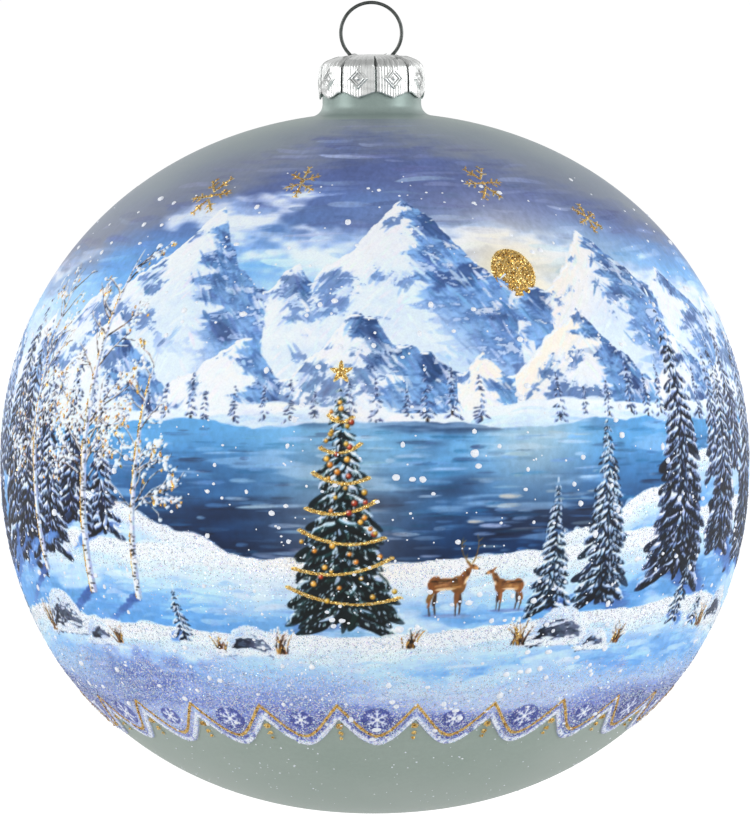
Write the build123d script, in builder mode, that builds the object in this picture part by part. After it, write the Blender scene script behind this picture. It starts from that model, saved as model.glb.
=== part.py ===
from build123d import *
import math
import os

os.makedirs("parts", exist_ok=True)

# A large blown-glass ball ornament with its stamped crown cap and its wire
# hanger. Millimetres, +Z up. The origin is the hanging point: the inside of
# the top of the wire loop, where a hook or a ribbon carries the ornament.
# The front of the ornament faces -Y, and the wire loop lies in the XZ plane.

# ---- driving dimensions ---------------------------------------------------
wire_dia = 0.7            # spring wire
loop_radius = 6.1         # centreline radius of the hanging loop
equator_drop = 91.85      # hanging point down to the widest circle of the ball

ball_radius = 75.0        # at the equator
ball_depth_low = 70.5     # equator to the bottom
ball_depth_up = 70.2      # equator to the top of the plain curve
power_low = 2.12          # fullness of the lower half, 2 is a true ellipse
power_up = 2.08           # fullness of the upper half
glass_wall = 1.0

neck_radius = 9.9         # outside of the glass neck
neck_bore = 8.6           # inside radius of the glass neck
neck_top = 78.8           # rim of the neck above the equator
rim_round = 0.45

cap_radius = 10.55        # outside of the crown
cap_sheet = 0.3           # sheet thickness
cap_crown = 81.8          # top of the dome above the equator
cap_tip = 72.8            # points of the petals above the equator
cap_notch = 73.95         # between two petals
petals = 9
petal_pitch = 360 / petals
slit_first = -85.2        # azimuth in the XY plane of one slit, -90 is the front
slit_width = 0.26
slit_top = 78.5           # the slits end below the shoulder
wire_hole_x = 4.05        # the two slots for the wire in the dome
wire_hole_length = 1.75
wire_hole_width = 1.05

loop_opening = 46         # degrees below level at which the loop ends
bend_radius = 1.0         # tight bend of the wire under the dome
leg_start_slope = 22      # degrees off plumb where a leg begins
leg_joint_gap = 0.05

eq = -equator_drop        # height of the equator
wire_r = wire_dia / 2
loop_z = -(loop_radius - wire_r)          # centre of the loop


def shell_curve(a, b_low, b_up, first, last, steps):
    """Points of the ball's half outline between two swing angles in degrees,
    -90 at the bottom, 0 at the equator and 90 at the top."""
    points = []
    for i in range(steps + 1):
        t = math.radians(first + (last - first) * i / steps)
        n = power_low if t < 0 else power_up
        b = b_low if t < 0 else b_up
        r = a * abs(math.cos(t)) ** (2 / n)
        z = math.copysign(b * abs(math.sin(t)) ** (2 / n), t)
        points.append((r, eq + z))
    return points


def fall_at(a, b, r, z):
    """Angle below level, in degrees, of the upper outline at (r, z)."""
    return math.degrees(math.atan((b / a) ** power_up * (r / z) ** (power_up - 1)))


# radius at which the outline leaves the ball for the rounding of the neck
root_out = 12.0
root_in = 10.0
swing_out = math.degrees(math.acos((root_out / ball_radius) ** (power_up / 2)))
swing_in = math.degrees(math.acos((root_in / (ball_radius - glass_wall)) ** (power_up / 2)))
outer_curve = shell_curve(ball_radius, ball_depth_low, ball_depth_up, -90, swing_out, 26)
inner_curve = shell_curve(
    ball_radius - glass_wall, ball_depth_low - glass_wall,
    ball_depth_up - glass_wall, -90, swing_in, 26)
outer_curve[0] = (0, eq - ball_depth_low)
inner_curve[0] = (0, eq - ball_depth_low + glass_wall)
fall_out = fall_at(ball_radius, ball_depth_up, root_out, outer_curve[-1][1] - eq)
fall_in = fall_at(ball_radius - glass_wall, ball_depth_up - glass_wall,
                  root_in, inner_curve[-1][1] - eq)

# ---- glass ball with its neck, one blown piece ------------------------------
with BuildPart() as glass_ball:
    for curve, fall, wall_r, pole, top_z, keep in (
        (outer_curve, fall_out, neck_radius, eq - ball_depth_low, eq + neck_top, Mode.ADD),
        (inner_curve, fall_in, neck_bore, eq - ball_depth_low + glass_wall,
         eq + neck_top + 1, Mode.SUBTRACT),
    ):
        inward = (-math.cos(math.radians(fall)), math.sin(math.radians(fall)))
        with BuildSketch(Plane.XZ) as half:
            with BuildLine():
                body = Spline(*curve, tangents=((1, 0), inward))
                root = JernArc(
                    start=curve[-1], tangent=inward, arc_size=-(90 - fall),
                    radius=(curve[-1][0] - wall_r) / (1 - math.sin(math.radians(fall))))
                side = Line(root @ 1, (wall_r, top_z))
                rim = Line(side @ 1, (0, top_z))
                Line(rim @ 1, (0, pole))
            make_face()
        revolve(axis=Axis.Z, mode=keep)
    fillet(glass_ball.edges().filter_by(GeomType.CIRCLE).group_by(Axis.Z)[-1], rim_round)
glass_ball.part.label = "glass_ball"
export_step(glass_ball.part, "parts/glass_ball.step")

# ---- crown cap, stamped from one sheet --------------------------------------
dome = [(10.5, 77.3), (10.42, 78.1), (10.2, 78.9), (9.72, 79.72), (9.0, 80.5),
        (7.1, 81.25), (4.2, 81.66), (0, cap_crown)]
dome_in = []
for i, (r, z) in enumerate(dome):
    before, after = dome[max(i - 1, 0)], dome[min(i + 1, len(dome) - 1)]
    dr, dz = after[0] - before[0], after[1] - before[1]
    size = math.hypot(dr, dz)
    dome_in.append((r - cap_sheet * dz / size, z + cap_sheet * dr / size))
dome_in[0] = (dome[0][0] - cap_sheet, dome[0][1])
dome_in[-1] = (0, cap_crown - cap_sheet)

with BuildPart() as cap:
    with BuildSketch(Plane.XZ) as stamping:
        with BuildLine():
            skirt = Line((cap_radius, eq + cap_tip), (dome[0][0], eq + dome[0][1]))
            top = Spline(*[(r, eq + z) for r, z in dome], tangents=((0, 1), (-1, 0)))
            Line(top @ 1, (0, eq + cap_crown - cap_sheet))
            under = Spline(*[(r, eq + z) for r, z in reversed(dome_in)],
                           tangents=((1, 0), (0, -1)))
            inner_skirt = Line(under @ 1, (cap_radius - cap_sheet, eq + cap_tip))
            Line(inner_skirt @ 1, skirt @ 0)
        make_face()
    revolve(axis=Axis.Z)
    # the crown is cut into petals: a slit between two petals, and below it a
    # wide shallow notch, so that each petal ends in a point
    half_chord = cap_radius * math.tan(math.radians(petal_pitch / 2))
    for k in range(petals):
        azimuth = slit_first + k * petal_pitch
        away = Vector(math.cos(math.radians(azimuth)), math.sin(math.radians(azimuth)), 0)
        face_out = Plane(origin=(0, 0, eq), x_dir=Vector(0, 0, 1).cross(away), z_dir=away)
        with BuildSketch(face_out) as cut:
            with BuildLine():
                Polyline((-half_chord, cap_tip - 0.01), (0, cap_notch),
                         (half_chord, cap_tip - 0.01), (0, cap_tip - 1),
                         (-half_chord, cap_tip - 0.01))
            make_face()
            with BuildLine():
                Polyline((-slit_width * 1.9, cap_notch - 0.35),
                         (-slit_width / 2, cap_notch + 0.9),
                         (-slit_width / 2, slit_top), (slit_width / 2, slit_top),
                         (slit_width / 2, cap_notch + 0.9),
                         (slit_width * 1.9, cap_notch - 0.35),
                         (-slit_width * 1.9, cap_notch - 0.35))
            make_face()
        extrude(amount=cap_radius + 2, mode=Mode.SUBTRACT)
    # two slots in the dome for the wire
    with BuildSketch(Plane.XY.offset(eq + cap_crown - 2)):
        with Locations((wire_hole_x, 0), (-wire_hole_x, 0)):
            SlotOverall(wire_hole_length, wire_hole_width)
    extrude(amount=4, mode=Mode.SUBTRACT)
cap.part.label = "cap"
export_step(cap.part, "parts/cap.step")

# ---- wire hanger: the loop and its two bends under the dome -----------------
start = math.radians(-loop_opening)
loop_end = (loop_radius * math.cos(start), loop_z + loop_radius * math.sin(start))
turn = 90 - loop_opening + leg_start_slope
with BuildPart() as hanger_loop:
    with BuildLine(Plane.XZ) as wire:
        ring = CenterArc((0, loop_z), loop_radius, -loop_opening, 180 + 2 * loop_opening)
        right = JernArc(start=loop_end, tangent=(math.sin(start), -math.cos(start)),
                        radius=bend_radius, arc_size=turn)
        left = JernArc(start=(-loop_end[0], loop_end[1]),
                       tangent=(-math.sin(start), -math.cos(start)),
                       radius=bend_radius, arc_size=-turn)
    with BuildSketch(Plane(origin=right @ 1, z_dir=right % 1)):
        Circle(wire_r)
    sweep(path=wire.line)
hanger_loop.part.label = "hanger_loop"
export_step(hanger_loop.part, "parts/hanger_loop.step")

# ---- the two spring legs of the hanger ---------------------------------------
# A leg leaves its bend with a small gap, turns about a ball end there, and
# flares out below the neck so that it grips the inside of the glass.
slope = math.radians(leg_start_slope)
pivot = (right @ 1) + Vector(math.sin(slope), 0, -math.cos(slope)) * (wire_r + leg_joint_gap)
leg_route = [(pivot.X, pivot.Z), (7.9, eq + 71.3), (10.8, eq + 50.2)]
print("leg pivot", round(pivot.X, 4), round(pivot.Z, 4))

for name, way in (("leg_right", 1), ("leg_left", -1)):
    with BuildPart() as leg:
        with BuildLine(Plane.XZ) as run:
            FilletPolyline(*[(way * x, z) for x, z in leg_route], radius=12)
        with BuildSketch(Plane(origin=run.line @ 0, z_dir=run.line % 0)):
            Circle(wire_r)
        sweep(path=run.line)
        with Locations(run.line @ 0):
            Sphere(wire_r)
        tip = leg.faces().sort_by(Axis.Z)[0]
        fillet(tip.edges(), 0.15)
    leg.part.label = name
    export_step(leg.part, "parts/" + name + ".step")
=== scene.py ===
"""A blown-glass ball ornament: grey-green satin lacquer, a painted winter
valley with raised brushwork, gold and iridescent glitter, a stamped silver
crown cap and a steel wire hanger. Metres, in the part's own frame."""
import bpy
import math
import numpy as np
from mathutils import Matrix, Vector


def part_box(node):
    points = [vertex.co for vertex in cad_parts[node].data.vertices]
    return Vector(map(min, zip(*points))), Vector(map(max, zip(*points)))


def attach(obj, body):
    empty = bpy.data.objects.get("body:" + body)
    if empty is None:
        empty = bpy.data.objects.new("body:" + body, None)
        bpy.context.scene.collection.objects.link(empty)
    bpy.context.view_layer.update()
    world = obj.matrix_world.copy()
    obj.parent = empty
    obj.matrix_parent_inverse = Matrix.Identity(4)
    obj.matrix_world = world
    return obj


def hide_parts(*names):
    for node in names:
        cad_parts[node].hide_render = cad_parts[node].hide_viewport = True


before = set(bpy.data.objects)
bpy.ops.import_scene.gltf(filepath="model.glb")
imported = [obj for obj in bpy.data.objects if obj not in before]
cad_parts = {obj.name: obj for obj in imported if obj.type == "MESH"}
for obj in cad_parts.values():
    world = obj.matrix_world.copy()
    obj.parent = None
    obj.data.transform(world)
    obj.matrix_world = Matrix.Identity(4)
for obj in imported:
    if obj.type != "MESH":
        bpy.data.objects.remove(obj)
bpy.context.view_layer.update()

MM = 0.001
ball_low, ball_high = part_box("glass_ball")
EQ = ball_low[2] / MM + 70.5          # height of the ball's widest circle, mm


# ---------------------------------------------------------------------------
# The painter: a canvas wrapped round the ball, painted stroke by stroke.
# Columns run in azimuth (-180 to 180 degrees, 0 is the front, positive to the
# right), rows in swing angle (-90 bottom, 0 equator, 90 top).
# ---------------------------------------------------------------------------
A_R, B_LOW, B_UP, N_LOW, N_UP = 75.0, 70.5, 70.2, 2.12, 2.08     # mm
CW, CH = 3072, 1216
T_LOW, T_HIGH = -78.0, 78.0

rng = np.random.default_rng(20241)

T_ROWS = T_LOW + (np.arange(CH) + 0.5) / CH * (T_HIGH - T_LOW)    # row -> swing


def swing_rz(t):
    """Radius and height, in mm from the equator, at a swing angle in degrees."""
    t = np.asarray(t, float)
    n = np.where(t < 0, N_LOW, N_UP)
    b = np.where(t < 0, B_LOW, B_UP)
    a = np.radians(t)
    r = A_R * np.abs(np.cos(a)) ** (2 / n)
    z = np.sign(t) * b * np.abs(np.sin(a)) ** (2 / n)
    return r, z


def zt(z):
    """Swing angle, in degrees, of one height."""
    n, b = (N_LOW, B_LOW) if z < 0 else (N_UP, B_UP)
    return math.copysign(math.degrees(math.asin(min(1.0, abs(z) / b) ** (n / 2))), z)


def z_to_t(z):
    z = np.asarray(z, float)
    n = np.where(z < 0, N_LOW, N_UP)
    b = np.where(z < 0, B_LOW, B_UP)
    return np.sign(z) * np.degrees(np.arcsin(np.clip(np.abs(z) / b, 0, 1) ** (n / 2)))


R_ROWS, Z_ROWS = (q.astype(np.float32) for q in swing_rz(T_ROWS))
PX_U = 2 * math.pi * R_ROWS / CW             # mm per column at each row
_rr, _zz = swing_rz(np.linspace(T_LOW, T_HIGH, CH + 1))
PX_V = np.hypot(np.diff(_rr), np.diff(_zz))  # mm per row
PX_UL, PX_VL, R_LIST = PX_U.tolist(), PX_V.tolist(), R_ROWS.tolist()
AZ_COLS = ((np.arange(CW) + 0.5) / CW * 360 - 180).astype(np.float32)
COL_MM = 2 * math.pi * A_R / CW


def row_of(z):
    return min(max(int((zt(z) - T_LOW) / (T_HIGH - T_LOW) * CH), 0), CH - 1)


def col_of(az):
    return int((az + 180) / 360 * CW) % CW


# canvas channels: red, green, blue, thickness in mm, glitter, gold
CAN = np.zeros((CH, CW, 6), np.float32)
COL = CAN[..., :3]
HGT, GLI, GLD = CAN[..., 3], CAN[..., 4], CAN[..., 5]
ALP = np.zeros((CH, CW), np.float32)


def noise2(seed, size_mm, octaves=4, gain=0.5, grain=(1.0, 1.0)):
    """Fractal noise over the canvas, seamless in azimuth, about -1 to 1. A
    grain above 1 draws the pattern out along that axis."""
    g = np.random.default_rng(seed)
    out = np.zeros((CH, CW), np.float32)
    amp = 1.0
    for o in range(octaves):
        s = size_mm / 2 ** o
        k = 4 if s * min(grain) > 3.2 else 2 if s * min(grain) > 1.3 else 1
        h, w = CH // k, CW // k
        fy = (np.fft.fftfreq(h)[:, None] / (float(np.mean(PX_V)) * k)).astype(np.float32)
        fx = (np.fft.rfftfreq(w)[None, :] / (COL_MM * k)).astype(np.float32)
        f = np.fft.rfft2(g.standard_normal((h, w), dtype=np.float32))
        k2 = (fx * s * grain[0]) ** 2 + (fy * s * grain[1]) ** 2
        layer = np.fft.irfft2(f * np.exp(-k2 * 2.56), s=(h, w)).astype(np.float32)
        layer /= layer.std() + 1e-9
        while k > 1:
            nx = np.empty((layer.shape[0], layer.shape[1] * 2), np.float32)
            nx[:, 0::2] = layer
            nx[:, 1::2] = (layer + np.roll(layer, -1, 1)) * 0.5
            up = np.empty((nx.shape[0] * 2, nx.shape[1]), np.float32)
            up[0::2] = nx
            up[1::2] = (nx + np.roll(nx, -1, 0)) * 0.5
            layer = up
            k //= 2
        out += amp * layer
        amp *= gain
    out *= 1 / (2.2 * math.sqrt(sum(gain ** (2 * o) for o in range(octaves))))
    return np.clip(out, -1, 1)


def line_noise(seed, size_mm, octaves=5, gain=0.5):
    g = np.random.default_rng(seed)
    f = np.fft.rfftfreq(CW) / COL_MM
    out, amp = np.zeros(CW), 1.0
    for o in range(octaves):
        s = size_mm / 2 ** o
        w = np.fft.rfft(g.standard_normal(CW)) * np.exp(-(f * s * 1.6) ** 2)
        layer = np.fft.irfft(w, CW)
        out += amp * layer / (layer.std() + 1e-9)
        amp *= gain
    return (out / out.std()).astype(np.float32)


def mix(a, b, f):
    return a + (b - a) * f


def smooth(a, b, x):
    x = np.clip((x - a) / (b - a), 0, 1)
    return x * x * (3 - 2 * x)


def lay(mask, colour, height=None, gli=None, gold=None):
    """Paints a mask (0-1) of one colour or a colour field over the canvas."""
    new = mask + ALP * (1 - mask)
    w = mask / np.maximum(new, 1e-4)
    COL[...] += (np.asarray(colour, np.float32) - COL) * w[..., None]
    ALP[...] = new
    if height is not None:
        HGT[...] = HGT * (1 - 0.65 * mask) + height * mask
    if gli is not None:
        GLI[...] += (gli - GLI) * mask
    if gold is not None:
        GLD[...] += (gold - GLD) * mask


BRISTLES = np.random.default_rng(3).random((97, 24)).astype(np.float32)
STROKES = [0]


def stroke(az, z, length, width, angle, colour, alpha=1.0, height=0.08, bend=0.0,
           dry=0.35, taper=0.6, gli=0.0, gold=0.0, tip=4):
    """One brush stroke centred at (az, z): length and width in mm, angle in
    degrees from the horizontal, bend in mm of rise at the middle. dry is how
    much the bristles break up, taper is how much the end thins."""
    cx = (az + 180) / 360 * CW
    cy = (zt(z) - T_LOW) / (T_HIGH - T_LOW) * CH
    row = min(max(int(cy), 0), CH - 1)
    mu, mv = PX_UL[row], PX_VL[row]
    hl, hw = length / 2, width / 2
    a = math.radians(angle)
    ca, sa = math.cos(a), math.sin(a)
    spread = hw + abs(bend)
    ex = (abs(ca) * hl + abs(sa) * spread) / mu + 1.2
    ey = (abs(sa) * hl + abs(ca) * spread) / mv + 1.2
    y0, y1 = max(0, int(cy - ey)), min(CH, int(cy + ey) + 2)
    x0, x1 = int(cx - ex) if cx >= ex else int(cx - ex) - 1, int(cx + ex) + 2
    if y1 <= y0 or x1 - x0 >= CW:
        return
    STROKES[0] += 1
    px = max(mu, mv)
    xs = (np.arange(x0, x1, dtype=np.float32) + (0.5 - cx)) * mu
    ys = ((np.arange(y0, y1, dtype=np.float32) + (0.5 - cy)) * mv)[:, None]
    u = xs * (ca / hl) + ys * (sa / hl)
    v = ys * ca - xs * sa
    if bend:
        v = v - bend * (1 - u * u)
    u2 = u * u
    if taper:
        v = v / (hw * (1 - taper * 0.5 * (0.6 * u2 + u * 0.8 * (u > 0))))
    else:
        v = v / hw
    v2 = v * v
    e = (u2 * u2 if tip == 4 else u2) + v2
    m = np.minimum(np.maximum((1 - e) * (0.5 * hw / px) + 0.42, 0), 1)
    if dry:
        table = BRISTLES[STROKES[0] % 97]
        s = table[np.minimum(np.maximum((v + 1) * 11.5, 0), 23).astype(np.int32)]
        m = m * (1 - dry * np.minimum(np.maximum((u + s - 0.35) * 0.95, 0.25 * s), 1))
    else:
        s = 0.5
    m = m * alpha
    if x0 < 0 or x1 > CW:
        sub = np.ix_(np.arange(y0, y1), np.arange(x0, x1) % CW)
    else:
        sub = (slice(y0, y1), slice(x0, x1))
    can, alp = CAN[sub], ALP[sub]
    new = m + alp * (1 - m)
    w = (m / np.maximum(new, 1e-4))[..., None]
    val = np.empty_like(can)
    shade = 0.95 + 0.10 * s
    val[..., 0], val[..., 1], val[..., 2] = colour[0] * shade, colour[1] * shade, colour[2] * shade
    val[..., 3] = height * (1.1 - 0.5 * np.minimum(v2, 1) + 0.25 * (s - 0.5)) + can[..., 3] * 0.25
    val[..., 4], val[..., 5] = gli, gold
    CAN[sub] = can + (val - can) * w
    ALP[sub] = new


def dot(az, z, size, colour, height=0.2, alpha=1.0, squash=1.0, gold=0.0, gli=0.0):
    """A round dab."""
    stroke(az, z, size, size * squash, 0, colour, alpha, height, dry=0, taper=0, tip=2, gold=gold, gli=gli)


# ---------------------------------------------------------------------------
# The picture: a generic winter valley. A frozen lake below a range of snowy
# peaks, a lit fir tree on the near shore, birches, spruces and boulders, ended
# by an even border of scallops.
# ---------------------------------------------------------------------------
def C(r, g, b):
    return np.array([r, g, b], np.float32) / 255
SNOW, SNOW2, SNOW3 = C(243, 247, 253), C(212, 226, 247), C(160, 190, 234)
AZURE, COBALT, NAVY, INK = C(98, 156, 222), C(40, 92, 172), C(22, 44, 104), C(12, 22, 58)
VIOLET, LILAC = C(88, 100, 166), C(154, 174, 220)
PINE, PINE2 = C(20, 50, 66), C(36, 84, 104)
GOLD, GOLD2, AMBER, BROWN, UMBER = C(206, 158, 56), C(252, 226, 140), C(226, 138, 48), C(118, 70, 34), C(52, 34, 28)

def jit(c, s=0.05):
    return np.clip(c + rng.normal(0, s, 3) * 0.6 + rng.normal(0, s), 0, 1).astype(np.float32)
def shift(az, z, dx):
    """Azimuth that lies dx mm to the right of (az, z)."""
    return az + math.degrees(dx / max(R_LIST[row_of(z)], 6.0))
def U(a, b):
    return float(rng.uniform(a, b))

def top_of_paint(az):
    return 41 + 26.5 * np.exp(-(np.abs(az) / 57.0) ** 2.4)

def paint_sky():
    z = Z_ROWS[:, None]
    az = AZ_COLS[None, :]
    top = top_of_paint(az) + 1.3 * line_noise(11, 46)[None, :]
    n = noise2(21, 26, 4, grain=(1.8, 0.6))
    fine = noise2(22, 4, 3, grain=(2.4, 0.6))
    edge = np.clip((top - z + 4.0 * n + 2.0 * fine) / 9.0, 0, 1)
    f = smooth(14, 60, z + 5 * n)
    col = mix(SNOW2[None, None], AZURE[None, None] * 1.04, smooth(0.0, 0.55, f)[..., None])
    col = mix(col, VIOLET[None, None], smooth(0.5, 1.0, f)[..., None] * 0.85)
    sun = np.exp(-(((az - 27) / 26) ** 2 + ((z - 34) / 15) ** 2))
    col = mix(col, C(255, 226, 176)[None, None], (0.62 * sun)[..., None])
    veil = smooth(17, -4, z - top + 5 * n) * smooth(-2, 8, z)
    lay((0.50 * veil).astype(np.float32), mix(C(116, 124, 168), C(104, 110, 160), 0.5), 0.008)
    lay((edge * smooth(-2, 8, z)).astype(np.float32), col, 0.015)
    # banks of cloud
    cl = noise2(23, 24, 5, 0.56, grain=(2.0, 0.75))
    bank = smooth(-0.06, 0.36, cl) * smooth(22, 34, z) * smooth(1, 9, top - z)
    under = smooth(0.10, 0.5, np.roll(cl, 14, axis=0) - cl + 0.22)
    lay((0.82 * bank).astype(np.float32), mix(SNOW[None, None], C(150, 176, 224)[None, None], under[..., None]), 0.05)
    # the clouds are dry-brushed across
    for i in range(1500):
        a = U(-180, 180)
        zz = U(16, float(top_of_paint(a)) + 1.5)
        yi, xi = row_of(zz), col_of(a)
        if ALP[yi, xi] < 0.12:
            continue
        c = COL[yi, xi]
        w = U(0, 1)
        c = mix(c, SNOW if w > 0.62 else (VIOLET if zz > 44 else AZURE), U(0.10, 0.42))
        stroke(a, zz, U(4, 13), U(0.7, 1.8), U(-8, 8), jit(c, 0.02), U(0.25, 0.7) * float(ALP[yi, xi]),
               0.03, bend=U(-0.8, 0.8), dry=0.75)

PEAKS = []
def paint_mountains():
    g = np.random.default_rng(77)
    # far range, pale, then the near range
    for layer, (base, rows, tone) in enumerate(((20, 26, 0.0), (12, 22, 1.0))):
        az = -180.0
        peaks = []
        while az < 178:
            step = g.uniform(13, 22) if layer == 0 else g.uniform(17, 30)
            az += step
            front = math.exp(-(az / 60.0) ** 2)
            h = (g.uniform(27, 34) + 13 * front * g.uniform(0.65, 1)) if layer == 0 else (g.uniform(20, 27) + 9 * front * g.uniform(0.4, 1))
            peaks.append((az, h, g.uniform(0.75, 1.15), g.uniform(0.8, 1.25)))
        if layer == 0:
            peaks = [p for p in peaks if not (-60 < p[0] < 66)] + [
                (-52, 37, 0.9, 1.0), (-33, 50, 1.0, 0.95), (-13, 41, 0.95, 1.1), (6, 54.5, 1.05, 1.0), (24, 38, 0.9, 0.9),
                (43, 47, 1.0, 1.1), (60, 38, 0.9, 0.9)]
        else:
            peaks = [p for p in peaks if not (-60 < p[0] < 66)] + [
                (-46, 30, 0.9, 1.0), (-22, 26.5, 0.8, 0.9), (-2, 31, 0.95, 0.8), (17, 24, 0.8, 0.9), (35, 31, 0.9, 1.0), (56, 25, 0.9, 0.9)]
        peaks = sorted(peaks)
        PEAKS.append(peaks)
        zig = [line_noise(900 + layer * 50 + i, 14, 4) for i in range(6)]
        azg = AZ_COLS[None, :]
        z = Z_ROWS[:, None]
        ridge_n = line_noise(300 + layer, 9, 5) * 0.8 + line_noise(310 + layer, 2.6, 3) * 0.35
        best = np.full((1, CW), -1e9)
        own = np.zeros((1, CW), int)
        for i, (pa, h, sl, sr) in enumerate(peaks):
            d = (azg - pa + 180) % 360 - 180
            dist = np.abs(d) * math.pi / 180 * 68
            tent = h - dist * np.where(d < 0, sl, sr) * 1.02 + 0.010 * dist ** 2 * (dist < 40)
            own = np.where(tent > best, i, own)
            best = np.maximum(best, tent)
        ridge = best + ridge_n[None, :]
        inside = smooth(-0.12, 0.12, ridge - z) * smooth(base - 14, base - 8, z)
        # the spine of a peak wanders down; light falls from the left
        zi = np.clip(((z - 0) / 60 * (CW - 1)).astype(int), 0, CW - 1)
        lit = np.zeros((CH, CW), np.float32)
        for i, (pa, h, sl, sr) in enumerate(peaks):
            d = (azg - pa + 180) % 360 - 180
            wob = np.roll(zig[i % 6], i * 331)[zi] * 1.9 + (h - z) * (0.20 if i % 2 else 0.33)
            dist = d * math.pi / 180 * 66
            lit = np.where(own == i, smooth(0.8, -0.8, dist - wob), lit)
        crag = noise2(400 + layer, 6.5, 5, 0.62, grain=(1.2, 0.75))
        gully = noise2(410 + layer, 3.0, 4, 0.6, grain=(1.6, 0.5))
        depth = np.clip((ridge - z) / 26, 0, 1)
        far = 0.28 if layer == 0 else 0.0
        light = mix(SNOW[None, None], SNOW2[None, None], smooth(0.0, 0.6, depth + 0.35 * crag)[..., None])
        light = mix(light, SNOW3[None, None], (smooth(0.15, 0.6, crag) * 0.55)[..., None])
        dark = mix(C(114, 160, 218)[None, None], C(64, 108, 182)[None, None], smooth(-0.4, 0.5, gully)[..., None])
        dark = mix(dark, C(42, 76, 150)[None, None], (smooth(0.1, 0.7, crag) * 0.8)[..., None])
        l = np.clip(lit + 0.55 * (gully > 0.42) - 0.65 * (crag > 0.38) * (lit > 0.5), 0, 1)
        col = mix(dark, light, l[..., None])
        col = mix(col, LILAC[None, None] * 1.06, far * (0.45 + 0.55 * depth)[..., None])
        col = mix(col, SNOW2[None, None], smooth(0.55, 1.0, depth)[..., None] * 0.7)
        glow = np.exp(-(((azg - 27) / 22) ** 2)) * (l > 0.5) * np.clip(1 - depth * 1.4, 0, 1)
        col = mix(col, C(255, 226, 180)[None, None], (0.42 * glow)[..., None])
        lay(inside.astype(np.float32), col, 0.05)
        base_col = COL.copy()
        lit_map = l
        # strokes down the slopes
        for i in range(4600 if layer else 5200):
            a = U(-180, 180)
            xi = int((a + 180) / 360 * CW) % CW
            rz = float(ridge[0, xi])
            lo = base - 7
            if rz < lo + 1:
                continue
            zz = rz - 0.45 - abs(float(rng.normal(0, 1))) * (rz - lo) * 0.42
            if zz < lo:
                continue
            yi = row_of(zz)
            c = base_col[yi, xi]
            lv = float(lit_map[yi, xi])
            k = (a - peaks[int(own[0, xi])][0] + 180) % 360 - 180
            ang = (52 if k < 0 else -52) + U(-16, 16)
            if lv > 0.5:
                c = mix(c, SNOW, U(0.0, 0.75))
            else:
                c = mix(c, COBALT if U(0, 1) < 0.35 else C(84, 134, 200), U(0.0, 0.5))
            top_gap = max(rz - zz, 0.2)
            ln = min(U(1.4, 5.2), top_gap * 2.4)
            stroke(a, zz, ln, U(0.35, 0.95), ang, jit(c, 0.025), U(0.45, 0.9), 0.07, bend=U(-0.3, 0.3), dry=0.6)
        # a bright crest
        for i in range(1300):
            a = U(-180, 180)
            xi = int((a + 180) / 360 * CW) % CW
            zz = float(ridge[0, xi]) - 0.3
            d = float(ridge[0, (xi + 6) % CW] - ridge[0, (xi - 6) % CW]) / (12 * 0.153 * max(math.cos(math.radians(float(z_to_t(zz)))), 0.2))
            if d > -0.15:
                stroke(a, zz, U(0.9, 2.2), U(0.3, 0.55), math.degrees(math.atan(d)), jit(SNOW, 0.015), 0.85, 0.10, dry=0.3)

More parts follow.
